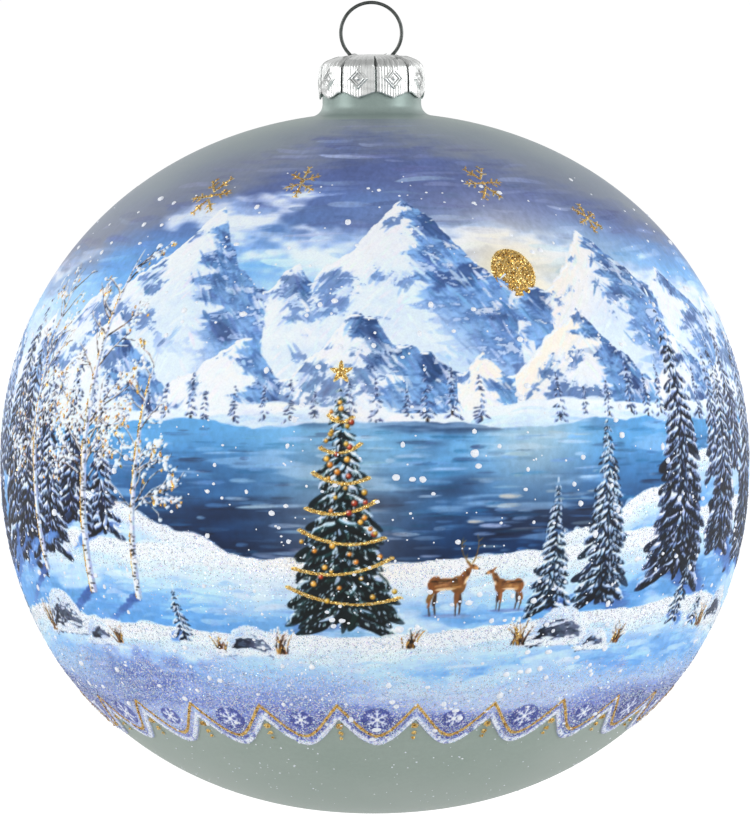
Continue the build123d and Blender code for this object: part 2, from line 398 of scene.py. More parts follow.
def fir(az, z, h, w, dark=PINE, mid=PINE2, snow=SNOW, shade=SNOW3, cover=0.72, lean=0.0, detail=1.0, lift=0.17):
    """A spruce from its foot at (az, z): boughs from the lowest up."""
    stroke(az, z + 0.02 * h, h * 0.12, h * 0.035 + 0.3, 90, UMBER, 1, 0.05, dry=0.2, taper=0)
    tiers = max(6, int(h / (0.92 + 0.017 * h)))
    body = int((10 + 0.75 * h) * detail)
    for i in range(body):
        y = U(0.04, 0.93)
        half = w / 2 * (1 - y) ** 0.92
        s = U(-1, 1)
        zz = z + y * h
        stroke(shift(az, zz, s * half * 0.62), zz, half * 0.7 + 0.4, max(0.4, half * 0.22), -30 * s + U(-14, 14),
               jit(dark, 0.02), 0.92, 0.05, dry=0.35)
    for i in range(tiers):
        y = 0.03 + 0.97 * (i / tiers) ** 0.95
        zz = z + y * h
        half = w / 2 * (1 - y) ** 0.90 * U(0.82, 1.14) + 0.2
        n = max(2, int((2.4 + half * 0.95) * detail))
        order = sorted([U(-1, 1) for _ in range(n)], key=abs, reverse=True)
        for s in order:
            way = 1 if s > 0 else -1
            droop = -(14 + 30 * abs(s)) * way + U(-6, 6)
            if abs(s) < 0.20:
                droop = 90 + U(-30, 30)
            ln = max(0.7, half * U(0.36, 0.56))
            bw = max(0.30, min(1.5, half * U(0.11, 0.17) + 0.14))
            cx = s * half * 0.68
            cz = zz - abs(s) * half * 0.32
            ang = droop + (180 if way < 0 else 0)
            sag = -0.09 * ln * way
            a0 = shift(az + lean * y, cz, cx)
            stroke(a0, cz - bw * 0.5, ln * 1.15, bw * 1.3, ang, jit(dark, 0.025), 0.95, lift * 0.4, dry=0.3, bend=sag)
            if U(0, 1) < 0.7:
                stroke(a0, cz - bw * 0.15, ln * 1.02, bw * 0.75, ang, jit(mid, 0.04), 0.85, lift * 0.6, dry=0.5, bend=sag)
            if U(0, 1) < cover:
                c = mix(shade, snow, U(0.0, 0.5))
                stroke(a0, cz + bw * 0.2, ln * U(0.8, 1.0), bw * 0.85, ang, jit(c, 0.02), 0.95, lift * 0.85, dry=0.25, bend=sag)
                stroke(shift(a0, cz, -0.06 * ln * way), cz + bw * 0.45, ln * U(0.5, 0.85), bw * 0.55, ang, jit(snow, 0.012), 0.97,
                       lift * 1.3, dry=0.15, bend=sag)
            # needles and frozen tips that hang from the bough's end
            for k in range(int(1 + 1.6 * detail * (half > 1.6))):
                tx = cx + way * ln * U(0.05, 0.48)
                tz = cz - abs(math.sin(math.radians(droop))) * ln * 0.35 - U(0.1, 0.7) * bw
                c = mix(mid if U(0, 1) < 0.4 else shade, snow, U(0.0, 0.9))
                stroke(shift(az + lean * y, tz, tx), tz, U(0.6, 1.25), U(0.2, 0.34), -90 + way * U(8, 48), jit(c, 0.02), 0.9,
                       lift * 0.9, dry=0.1, taper=0.8)
    stroke(az + lean, z + h * 1.0, max(0.9, h * 0.045), max(0.3, h * 0.011), 90, jit(snow, 0.01), 0.95, lift, dry=0.1)


def hill(points, col_top, col_low, seed, gli=0.0, height=0.09, strokes=900, soft=9.0):
    """A snow mound whose crest runs through points of (azimuth, height)."""
    pts = sorted(points)
    pa = np.array([p[0] for p in pts]); pz = np.array([p[1] for p in pts])
    # smooth crest between the points
    crest = np.full(CW, -200.0)
    inside = (AZ_COLS >= pa[0]) & (AZ_COLS <= pa[-1])
    t = AZ_COLS[inside]
    i = np.clip(np.searchsorted(pa, t) - 1, 0, len(pa) - 2)
    f = (t - pa[i]) / (pa[i + 1] - pa[i])
    f = f * f * (3 - 2 * f)
    crest[inside] = pz[i] * (1 - f) + pz[i + 1] * f
    crest = crest + 0.16 * line_noise(seed, 5, 4)
    z = Z_ROWS[:, None]
    d = crest[None, :] - z
    n = noise2(seed + 1, 15, 4, grain=(1.6, 0.6))
    f = smooth(0, soft, d + 2.2 * n)
    col = mix(col_top[None, None], col_low[None, None], f[..., None])
    col = mix(col, SNOW[None, None], (smooth(0.25, 0.75, n) * 0.5)[..., None])
    fade = smooth(pa[0], pa[0] + 3, AZ_COLS)[None, :] * smooth(pa[-1], pa[-1] - 3, AZ_COLS)[None, :]
    m = (smooth(-0.1, 0.12, d) * np.where(fade > 0, 1, 0) * smooth(-43.5, -40.5, z + 1.2 * n)).astype(np.float32)
    lay(m, col, height, gli=gli * smooth(soft * 0.9, 0.5, d + 3 * n) if gli else 0.0, gold=0.0)
    for k in range(strokes):
        a = U(pa[0] + 1, pa[-1] - 1)
        xi = int((a + 180) / 360 * CW) % CW
        top = crest[xi]
        dd = abs(float(rng.normal(0, 1))) * soft * 0.8
        zz = top - 0.35 - dd
        if zz < -41:
            continue
        slope = (crest[(xi + 12) % CW] - crest[(xi - 12) % CW]) / (24 * 0.153)
        ang = math.degrees(math.atan(float(np.clip(slope, -1.2, 1.2)))) * math.exp(-dd / 10)
        c = COL[row_of(zz), xi]
        if dd < soft * 0.25:
            c = mix(c, SNOW, U(0.2, 0.9))
        else:
            c = mix(c, [SNOW, SNOW2, SNOW3, AZURE][int(rng.integers(4))], U(0.1, 0.5))
        stroke(a, zz, U(2.0, 8.5), U(0.5, 1.5), ang + U(-5, 5), jit(c, 0.015), U(0.35, 0.8), height * 1.2, bend=U(-0.2, 0.7), dry=0.6, gli=gli * 0.8 if dd < soft * 0.4 else 0.0)
    return crest

def lake():
    z = Z_ROWS[:, None]
    az = AZ_COLS[None, :]
    shore_far = 9.5 + 0.8 * line_noise(61, 20)[None, :]
    n = noise2(62, 18, 4, grain=(2.6, 0.5))
    fine = noise2(63, 5, 3, grain=(3.0, 0.4))
    m = (smooth(0.0, 0.3, shore_far - z) * smooth(-29, -28, z)).astype(np.float32)
    f = smooth(8, -14, z + 4 * n)
    col = mix(C(86, 156, 220)[None, None], C(18, 72, 152)[None, None], f[..., None])
    col = mix(col, C(12, 40, 104)[None, None], (smooth(0.1, 0.7, n) * 0.65)[..., None])
    col = mix(col, C(150, 190, 236)[None, None], (smooth(0.35, 0.8, fine) * 0.45)[..., None])
    glow = np.exp(-(((az - 24) / 9) ** 2)) * smooth(-16, 8, z)
    col = mix(col, C(250, 214, 160)[None, None], (0.35 * glow)[..., None])
    lay(m, col, 0.02)
    for i in range(2600):
        a = U(-180, 180)
        zz = U(-26, 9)
        xi = int((a + 180) / 360 * CW) % CW
        c = COL[row_of(zz), xi]
        w = U(0, 1)
        d = U(0, 1)
        target = SNOW2 if w > 0.80 else (AZURE if w > 0.5 else (NAVY if w > 0.25 else C(18, 108, 178)))
        if abs(a - 24) < 11 and U(0, 1) < 0.25:
            target = C(252, 222, 168)
        stroke(a, zz, U(2.0, 9.0), U(0.25, 0.9), U(-2.5, 2.5), jit(mix(c, target, U(0.2, 0.75)), 0.02), U(0.4, 0.85), 0.03, dry=0.55)

def birch(az, z, h, lean, seed, thick=1.0, leaves=True):
    g = np.random.default_rng(seed)
    twigs = []
    # trunk as a chain of short strokes
    n = int(h / 0.9)
    path = []
    for i in range(n + 1):
        y = i / n
        path.append((lean * y + 1.2 * math.sin(2.4 * y + seed) * y, y * h))
    def wide(y):
        return thick * (1.65 * (1 - y) ** 0.8 + 0.28)
    def at(dx, dz):
        return shift(az, z + dz, dx), z + dz
    def branch(x0, y0, ang, ln, w, depth):
        steps = max(3, int(ln / 0.9))
        x, y, a = x0, y0, ang
        for s in range(steps):
            f = s / steps
            a += g.normal(0, 7) + (1.2 if a > 90 else -1.2) * (2.0 if depth > 0 else 1.0)
            nx, ny = x + math.cos(math.radians(a)) * ln / steps, y + math.sin(math.radians(a)) * ln / steps
            twigs.append((x, y, nx, ny, w * (1 - 0.75 * f), depth))
            x, y = nx, ny
            if depth < 2 and g.random() < (0.40 if depth == 0 else 0.34) and f > 0.12:
                side = 1 if g.random() < 0.5 else -1
                branch(x, y, a + side * g.uniform(24, 48), ln * g.uniform(0.34, 0.58) * (1 - 0.45 * f), w * 0.55, depth + 1)
    for i in range(int(h / 2.5)):
        y = g.uniform(0.30, 0.98)
        k = int(y * n)
        side = 1 if i % 2 else -1
        branch(path[k][0], path[k][1], 90 - side * g.uniform(28, 62), h * g.uniform(0.15, 0.27) * (1.2 - 0.7 * y), 0.42 * thick, 0)
    # twigs: dark line, then snow along the upper side
    for x, y, nx, ny, w, d in twigs:
        a, zz = at((x + nx) / 2, (y + ny) / 2)
        ln = math.hypot(nx - x, ny - y)
        stroke(a, zz, ln * 1.35, max(0.20, w), math.degrees(math.atan2(ny - y, nx - x)), jit(UMBER if g.random() < 0.7 else BROWN, 0.03), 0.95, 0.08, dry=0.0, taper=0.1)
    for x, y, nx, ny, w, d in twigs:
        if g.random() < 0.62:
            a, zz = at((x + nx) / 2, (y + ny) / 2 + w * 0.45)
            ln = math.hypot(nx - x, ny - y)
            stroke(a, zz, ln * 1.1, max(0.22, w * 0.8), math.degrees(math.atan2(ny - y, nx - x)), jit(SNOW, 0.012), 0.95, 0.20, dry=0.0, taper=0.1)
        if d >= 1 and g.random() < 0.5:
            for _ in range(2):
                a, zz = at(nx + g.normal(0, 0.5), ny + g.normal(0, 0.4))
                s = g.uniform(0.3, 0.75)
                stroke(a, zz, s * 1.3, s, g.uniform(-30, 30), jit(mix(SNOW2, SNOW, g.random()), 0.01), 0.95, 0.24, dry=0.0, taper=0.2)
        if leaves and d >= 1 and g.random() < 0.16:
            a, zz = at(nx + g.normal(0, 0.6), ny - 0.5 + g.normal(0, 0.5))
            stroke(a, zz, g.uniform(0.6, 1.0), g.uniform(0.35, 0.55), g.uniform(-120, -40), jit(AMBER if g.random() < 0.5 else GOLD, 0.05), 0.95, 0.16, dry=0.0, gold=0.8)
    for i in range(n):
        (x0, y0), (x1, y1) = path[i], path[i + 1]
        y = (i + 0.5) / n
        w = wide(y)
        a, zz = at((x0 + x1) / 2, (y0 + y1) / 2)
        ang = math.degrees(math.atan2(y1 - y0, x1 - x0))
        stroke(a, zz, 1.9, w, ang, jit(C(226, 230, 238), 0.02), 1.0, 0.16, dry=0.25, taper=0.0)
        stroke(shift(a, zz, w * 0.30), zz, 1.9, w * 0.42, ang, jit(C(138, 156, 196), 0.03), 0.9, 0.15, dry=0.35, taper=0.0)
    for i in range(int(n * 1.5)):
        y = g.uniform(0.0, 0.97)
        k = min(int(y * n), n - 1)
        w = wide(y)
        a, zz = at(path[k][0] + g.uniform(-0.32, 0.32) * w, path[k][1] + g.uniform(0, 0.8))
        stroke(a, zz, w * g.uniform(0.28, 0.8), g.uniform(0.16, 0.42), g.uniform(-14, 14), jit(C(42, 36, 44), 0.02), 0.92, 0.15, dry=0.2)
    for i in range(int(n * 0.8)):
        y = g.uniform(0.0, 0.9)
        k = min(int(y * n), n - 1)
        w = wide(y)
        a, zz = at(path[k][0] - w * 0.42, path[k][1] + g.uniform(0, 0.8))
        stroke(a, zz, g.uniform(0.8, 2.2), 0.26, 90, jit(GOLD, 0.05), 0.9, 0.24, dry=0.0, gold=1.0)

CREAM, NIGHT = C(246, 242, 233), C(16, 22, 50)


def cast(az, z, h, w):
    """The long blue shadow that something h tall and w wide throws down the
    snow, away from the low sun behind."""
    way = -1 if az < 25 else 1
    if abs(az) > 100:
        way = 0.4 * (1 if az > 0 else -1)
    n = int(10 + h * 1.1)
    for i in range(n):
        t = (i + 0.5) / n
        zz = z + 0.5 - t * h * 0.20
        x = way * t * h * 0.34
        for k in range(2):
            stroke(shift(az, zz, x + U(-0.1, 0.1) * w), zz + U(-0.4, 0.4), max(1.2, w * (1 - t) * U(0.5, 1.0)), U(0.6, 1.5),
                   U(-7, 7), jit(mix(C(64, 104, 196), C(96, 146, 222), t), 0.02), U(0.30, 0.62), 0.07, dry=0.6)


def stone(az, z, w, h, seed):
    """A boulder under a cap of snow, lit from the right."""
    g = np.random.default_rng(seed)
    for i in range(int(w * h * 6)):
        x = g.uniform(-1, 1)
        y = g.uniform(0, 1) * h * (1 - abs(x) ** 2.3) ** 0.6
        light = min(max(0.38 + 0.38 * x + 0.25 * y / h + g.normal(0, 0.16), 0), 1)
        stroke(shift(az, z + y, x * w / 2), z + y, g.uniform(0.9, 2.2), g.uniform(0.35, 0.8), g.uniform(-25, 25) - 38 * x,
               jit(mix(C(24, 36, 70), C(128, 142, 176), light), 0.02), 0.92, 0.10, dry=0.4)
    for i in range(int(w * 22)):
        x = g.uniform(-0.98, 0.98)
        y = h * (1 - abs(x) ** 2.3) ** 0.6 - abs(g.normal(0, 0.15)) * h + 0.25
        light = min(max(0.55 + 0.4 * x + g.normal(0, 0.2), 0), 1)
        stroke(shift(az, z + y, x * w / 2), z + y, g.uniform(0.7, 1.9), g.uniform(0.4, 0.8), -38 * x + g.uniform(-8, 8),
               jit(mix(C(160, 186, 230), SNOW, light), 0.012), 0.96, 0.24, dry=0.15, gli=0.4)
    for i in range(int(w * 7)):                      # snow banked up against its foot
        x = g.uniform(-1.2, 1.2)
        y = abs(g.normal(0, 0.12)) * h
        stroke(shift(az, z + y, x * w / 2), z + y, g.uniform(1.2, 3.2), g.uniform(0.4, 0.9), g.uniform(-6, 6),
               jit(mix(SNOW2, SNOW, g.random()), 0.012), 0.9, 0.17, dry=0.4, gli=0.4)

def grass(az, z, h, seed):
    """A tuft of dry stalks with frost on their tips."""
    g = np.random.default_rng(seed)
    for i in range(int(8 + h * 2.2)):
        ang = 90 + g.normal(0, 15)
        ln = h * g.uniform(0.5, 1.0)
        x, y, foot = 0.0, 0.0, g.normal(0, 0.10) * h
        for k in range(4):
            nx, ny = x + math.cos(math.radians(ang)) * ln / 4, y + math.sin(math.radians(ang)) * ln / 4
            c = jit([UMBER, BROWN, C(176, 126, 58)][int(g.integers(3))], 0.03)
            stroke(shift(az, z + y, foot + (x + nx) / 2), z + (y + ny) / 2, ln / 4 * 1.4, 0.36 - 0.05 * k, ang, c, 0.96, 0.13,
                   dry=0.0, taper=0.1, gold=1.0 if i % 4 == 0 and k > 0 else 0.0)
            x, y = nx, ny
            ang += (4 if ang < 90 else -4) * -1.6 + g.normal(0, 5)
        for k in range(4):
            dot(shift(az, z + y, foot + x + g.normal(0, 0.22)), z + y + g.normal(0, 0.4), g.uniform(0.3, 0.5), jit(SNOW, 0.015), 0.26, 0.96, gli=0.3)

def deer(az, z, s, face, antlers, seed):
    """A standing red deer; s is the height of its back in mm."""
    g = np.random.default_rng(seed)
    coat, dark, pale, belly = C(150, 92, 46), C(84, 50, 28), C(198, 142, 84), C(224, 196, 160)

    def st(x, y, ln, w, ang, c, lift=0.15, dry=0.15, taper=0.5, tip=4):
        stroke(shift(az, z + y * s, face * x * s), z + y * s, ln * s, w * s, ang if face > 0 else 180 - ang,
               jit(c, 0.02), 0.97, lift, dry=dry, taper=taper, tip=tip)
    for i in range(10):                              # shadow on the snow
        st(g.uniform(-0.4, 0.5), g.uniform(-0.06, 0.0), 0.5, 0.07, 0, C(120, 150, 208), 0.1, 0.6)
    for x, a1, a2 in ((-0.27, 80, 96), (0.33, 92, 88)):   # far legs
        st(x, 0.38, 0.36, 0.10, a1, dark)
        st(x + 0.01, 0.14, 0.30, 0.045, a2, dark, dry=0)
    st(0.0, 0.735, 0.94, 0.30, 0, coat, 0.16, 0.05, 0, 2)
    st(-0.27, 0.72, 0.44, 0.36, 78, coat, 0.17, 0.05, 0, 2)
    st(0.27, 0.71, 0.46, 0.38, 96, coat, 0.17, 0.05, 0, 2)
    st(-0.02, 0.615, 0.50, 0.07, 3, belly, 0.17, 0.3)
    for i in range(30):                              # coat: dark along the back, light below
        x, y = g.uniform(-0.36, 0.36), g.uniform(0.0, 1.0)
        st(x, 0.64 + 0.20 * y, g.uniform(0.10, 0.2), 0.045, g.uniform(-12, 16), mix(pale, dark, float(np.clip(y + g.normal(0, 0.15), 0, 1))), 0.19, 0.3)
    for x, a1, a2 in ((-0.38, 68, 98), (0.25, 90, 92)):   # near legs
        st(x, 0.44, 0.36, 0.13, a1, coat)
        st(x - 0.02, 0.26, 0.22, 0.065, a1 + 10, coat)
        st(x - 0.01, 0.10, 0.28, 0.042, a2, dark, dry=0)
    st(-0.50, 0.76, 0.14, 0.09, 100, SNOW, 0.18)     # tail
    st(0.43, 0.93, 0.50, 0.20, 56, coat, 0.17, 0.05, 0.7)   # neck
    st(0.47, 0.84, 0.26, 0.06, 66, belly, 0.18, 0.4)
    for i in range(9):
        st(0.36 + g.uniform(0, 0.16), 0.84 + g.uniform(0, 0.24), 0.12, 0.04, 58, mix(coat, dark, g.uniform(0, 1)), 0.19, 0.3)
    st(0.64, 1.13, 0.30, 0.13, -22, coat, 0.18, 0.05, 0.9, 2)  # head
    st(0.70, 1.10, 0.12, 0.06, -18, pale, 0.19, 0.1)
    st(0.765, 1.085, 0.05, 0.05, 0, INK, 0.2, 0)
    st(0.62, 1.165, 0.035, 0.035, 0, INK, 0.2, 0)
    st(0.50, 1.22, 0.16, 0.06, 140, coat, 0.18, 0)   # ear
    if antlers:
        for x, y, ang, turn in ((0.55, 1.21, 138, -15), (0.60, 1.22, 62, 9)):
            for k in range(5):
                ln = 0.135
                x2, y2 = x + math.cos(math.radians(ang)) * ln, y + math.sin(math.radians(ang)) * ln
                st((x + x2) / 2, (y + y2) / 2, ln * 1.3, 0.044 - 0.005 * k, ang, mix(GOLD, UMBER, 0.45), 0.2, 0)
                if k in (0, 2, 3):
                    way = math.radians(ang - 52)
                    st(x2 + math.cos(way) * 0.07, y2 + math.sin(way) * 0.07, 0.15, 0.028, math.degrees(way), mix(GOLD, UMBER, 0.4), 0.2, 0)
                x, y, ang = x2, y2, ang + turn


def snowflake(az, z, r, arms=6, turn=0.0, gilt=1.0):
    """A plain six-armed star crystal, in gold or (gilt 0) in snow paste."""
    for k in range(arms):
        a = math.radians(turn + k * 360 / arms)
        for (t0, t1, side, wd) in ((0.0, 1.0, 0, 0.40), (0.45, 0.30, 1, 0.30), (0.45, 0.30, -1, 0.30), (0.74, 0.20, 1, 0.26), (0.74, 0.20, -1, 0.26)):
            if side == 0:
                x, y, ln, ang = math.cos(a) * r / 2, math.sin(a) * r / 2, r, a
            else:
                ang = a + side * math.radians(55)
                bx, by = math.cos(a) * r * t0, math.sin(a) * r * t0
                ln = r * t1
                x, y = bx + math.cos(ang) * ln / 2, by + math.sin(ang) * ln / 2
            stroke(shift(az, z + y, x), z + y, ln * 1.05, wd * (0.7 + r * 0.09), math.degrees(ang), jit((GOLD2 if k % 2 else GOLD) if gilt else SNOW, 0.04 if gilt else 0.01), 0.97, 0.24 + 0.08 * (1 - gilt), dry=0.0, taper=0.3, gold=gilt, gli=0.0 if gilt else 0.08)
    dot(az, z, 0.95, GOLD2 if gilt else SNOW, 0.26, gold=gilt)

def lit_tree(az, z, h, w):
    """The tree with lights: a full fir hung with gold garlands and baubles."""
    # glow on the snow and in the air
    zg = Z_ROWS[:, None]
    d2 = (((AZ_COLS[None, :] - az) * math.pi / 180 * R_ROWS[:, None]) / (w * 0.75)) ** 2 + ((zg - (z + h * 0.42)) / (h * 0.62)) ** 2
    lay((0.30 * np.exp(-d2 * 1.5) * (ALP > 0.2)).astype(np.float32), C(255, 220, 160))
    fir(az, z, h, w, dark=C(16, 44, 52), mid=C(34, 86, 88), snow=SNOW, shade=C(170, 196, 232), cover=0.50, detail=1.5, lift=0.2)
    rows = 7
    for i in range(rows):
        y0 = 0.10 + 0.125 * i
        half = w / 2 * (1 - y0) ** 0.86 * 0.88
        n = int(half * 5.5) + 5
        for k in range(n):
            s = -1 + 2 * k / (n - 1)
            sag = -(1 - s * s) * (0.9 + half * 0.13) + 0.10 * half * s * (1 if i % 2 else -1)
            zz = z + y0 * h + sag
            aa = shift(az, zz, s * half)
            stroke(aa, zz, 0.95, 0.42, -20 * s, jit(GOLD2 if k % 3 == 0 else GOLD, 0.05), 0.96, 0.34, dry=0.0, taper=0.1, gold=1.0)
    for i in range(46):
        y = 0.05 + 0.86 * (i + 0.5) / 46
        half = w / 2 * (1 - y) ** 0.86 * 0.82
        s = U(-1, 1)
        zz = z + y * h + U(-0.4, 0.4)
        aa = shift(az, zz, s * half)
        rr = U(0.8, 1.25)
        c = [AMBER, C(208, 74, 44), GOLD, C(238, 176, 70)][int(rng.integers(4))]
        dot(aa, zz, rr * 1.1, jit(c * 0.62, 0.02), 0.40)
        dot(shift(aa, zz, -0.08 * rr), zz + 0.09 * rr, rr * 0.84, jit(c, 0.02), 0.46)
        dot(shift(aa, zz, -0.20 * rr), zz + 0.22 * rr, rr * 0.34, C(255, 246, 224), 0.48)
    # star
    for k in range(5):
        a = math.radians(90 + 72 * k)
        zz = z + h * 1.035
        stroke(shift(az, zz, math.cos(a) * 1.1), zz + math.sin(a) * 1.1, 2.4, 1.0, math.degrees(a), jit(GOLD2, 0.02), 1, 0.44, dry=0, taper=0.95, gold=1.0)

SCALLOPS, JOINT_Z, DEPTH = 24, -48.0, 5.2

def border():
    """Foot of the picture: glittered snow cut into even scallops, each with a
    rim of white grains, a gold thread and a crystal, beads between them."""
    step = 360.0 / SCALLOPS
    z = Z_ROWS[:, None]
    u = ((AZ_COLS / step + 0.5) % 1.0 - 0.5) * 2
    low = JOINT_Z - DEPTH * np.cos(np.pi * u / 2)
    half = math.radians(step / 2) * float(R_LIST[row_of(JOINT_Z - DEPTH / 2)])
    slope = DEPTH * np.pi / 2 / half * np.sin(np.pi * u / 2)
    away = (z - low[None, :]) / np.sqrt(1 + slope * slope)[None, :]
    n1, n2 = noise2(71, 20, 3, grain=(2.6, 0.5)), noise2(72, 3.2, 4)
    clear = smooth(0.1, -0.3, away).astype(np.float32)
    for layer in (ALP, HGT, GLI, GLD):
        layer *= 1 - clear
    top = -37.0 + 1.6 * line_noise(74, 40, 3)[None, :]
    m = (smooth(-0.14, 0.12, away + 0.08 * n2) * smooth(-2.6, 2.6, top - z + 1.8 * n2)).astype(np.float32)
    f = smooth(-36, -50, z + 2.6 * n1)
    col = mix(C(152, 188, 230)[None, None], C(92, 102, 196)[None, None], f[..., None])
    col = mix(col, C(196, 212, 240)[None, None], (smooth(0.15, 0.75, n1) * 0.55)[..., None])
    col = mix(col, C(70, 84, 180)[None, None], (smooth(-0.2, -0.75, n1) * 0.5)[..., None])
    lay(m * 0.97, col, 0.16, gli=0.55 + 0.37 * f, gold=0.0)
    for i in range(2600):
        a, zz = U(-180, 180), U(-53, -35)
        yi, xi = row_of(zz), col_of(a)
        if m[yi, xi] < 0.7 or away[yi, xi] < 1.0:
            continue
        near = math.exp(-float(away[yi, xi]) / 3.5)
        ang = math.degrees(math.atan(float(slope[xi]))) * near
        c = mix(COL[yi, xi], [SNOW, SNOW2, C(74, 86, 186), C(120, 150, 222)][int(rng.integers(4))], U(0.08, 0.34))
        stroke(a, zz, U(2.0, 6.5), U(0.4, 1.1), ang + U(-5, 5), jit(c, 0.018), U(0.3, 0.65), 0.17, dry=0.6, gli=0.55 + 0.3 * near)
    grain = smooth(-0.9, -0.1, noise2(79, 1.1, 2))
    rim = (smooth(0.0, 0.12, away) * smooth(1.05, 0.75, away) * grain).astype(np.float32)
    lay(rim * 0.92, C(228, 233, 238), 0.28, gli=0.7, gold=0.0)
    thread = smooth(0.32, 0.18, np.abs(away - 1.95)).astype(np.float32)
    lay(thread, GOLD, 0.24, gli=0.0, gold=1.0)
    for k in range(SCALLOPS):
        mid, joint = k * step - 180 + step, k * step - 180 + step / 2
        r = 2.3 if k % 2 else 1.7
        dot(mid, JOINT_Z + 0.1, 2.7 * r, C(72, 84, 182), 0.16, alpha=0.75, gli=0.08)
        snowflake(mid, JOINT_Z + 0.1, r, turn=30, gilt=0.0)
        for drop_z, size in ((1.3, 1.35), (2.75, 0.95), (3.8, 0.65)):
            dot(joint, JOINT_Z - drop_z, size, jit(GOLD2, 0.03), 0.30, gold=1.0)

def side_spruces():
    """Forest round the sides and the back, from far to near."""
    g = np.random.default_rng(9)
    spots = []
    a = 58.0
    while a < 302:
        spots.append((a + g.uniform(-2, 2), g.uniform(7, 10), g.uniform(10, 19)))
        a += g.uniform(3.0, 5.6)
    for a, z, h in spots:
        fir((a + 180) % 360 - 180, z, h, h * 0.46, dark=C(52, 74, 132), mid=C(96, 122, 182), snow=SNOW2, shade=C(146, 168, 220), cover=0.75, detail=0.8, lift=0.12)

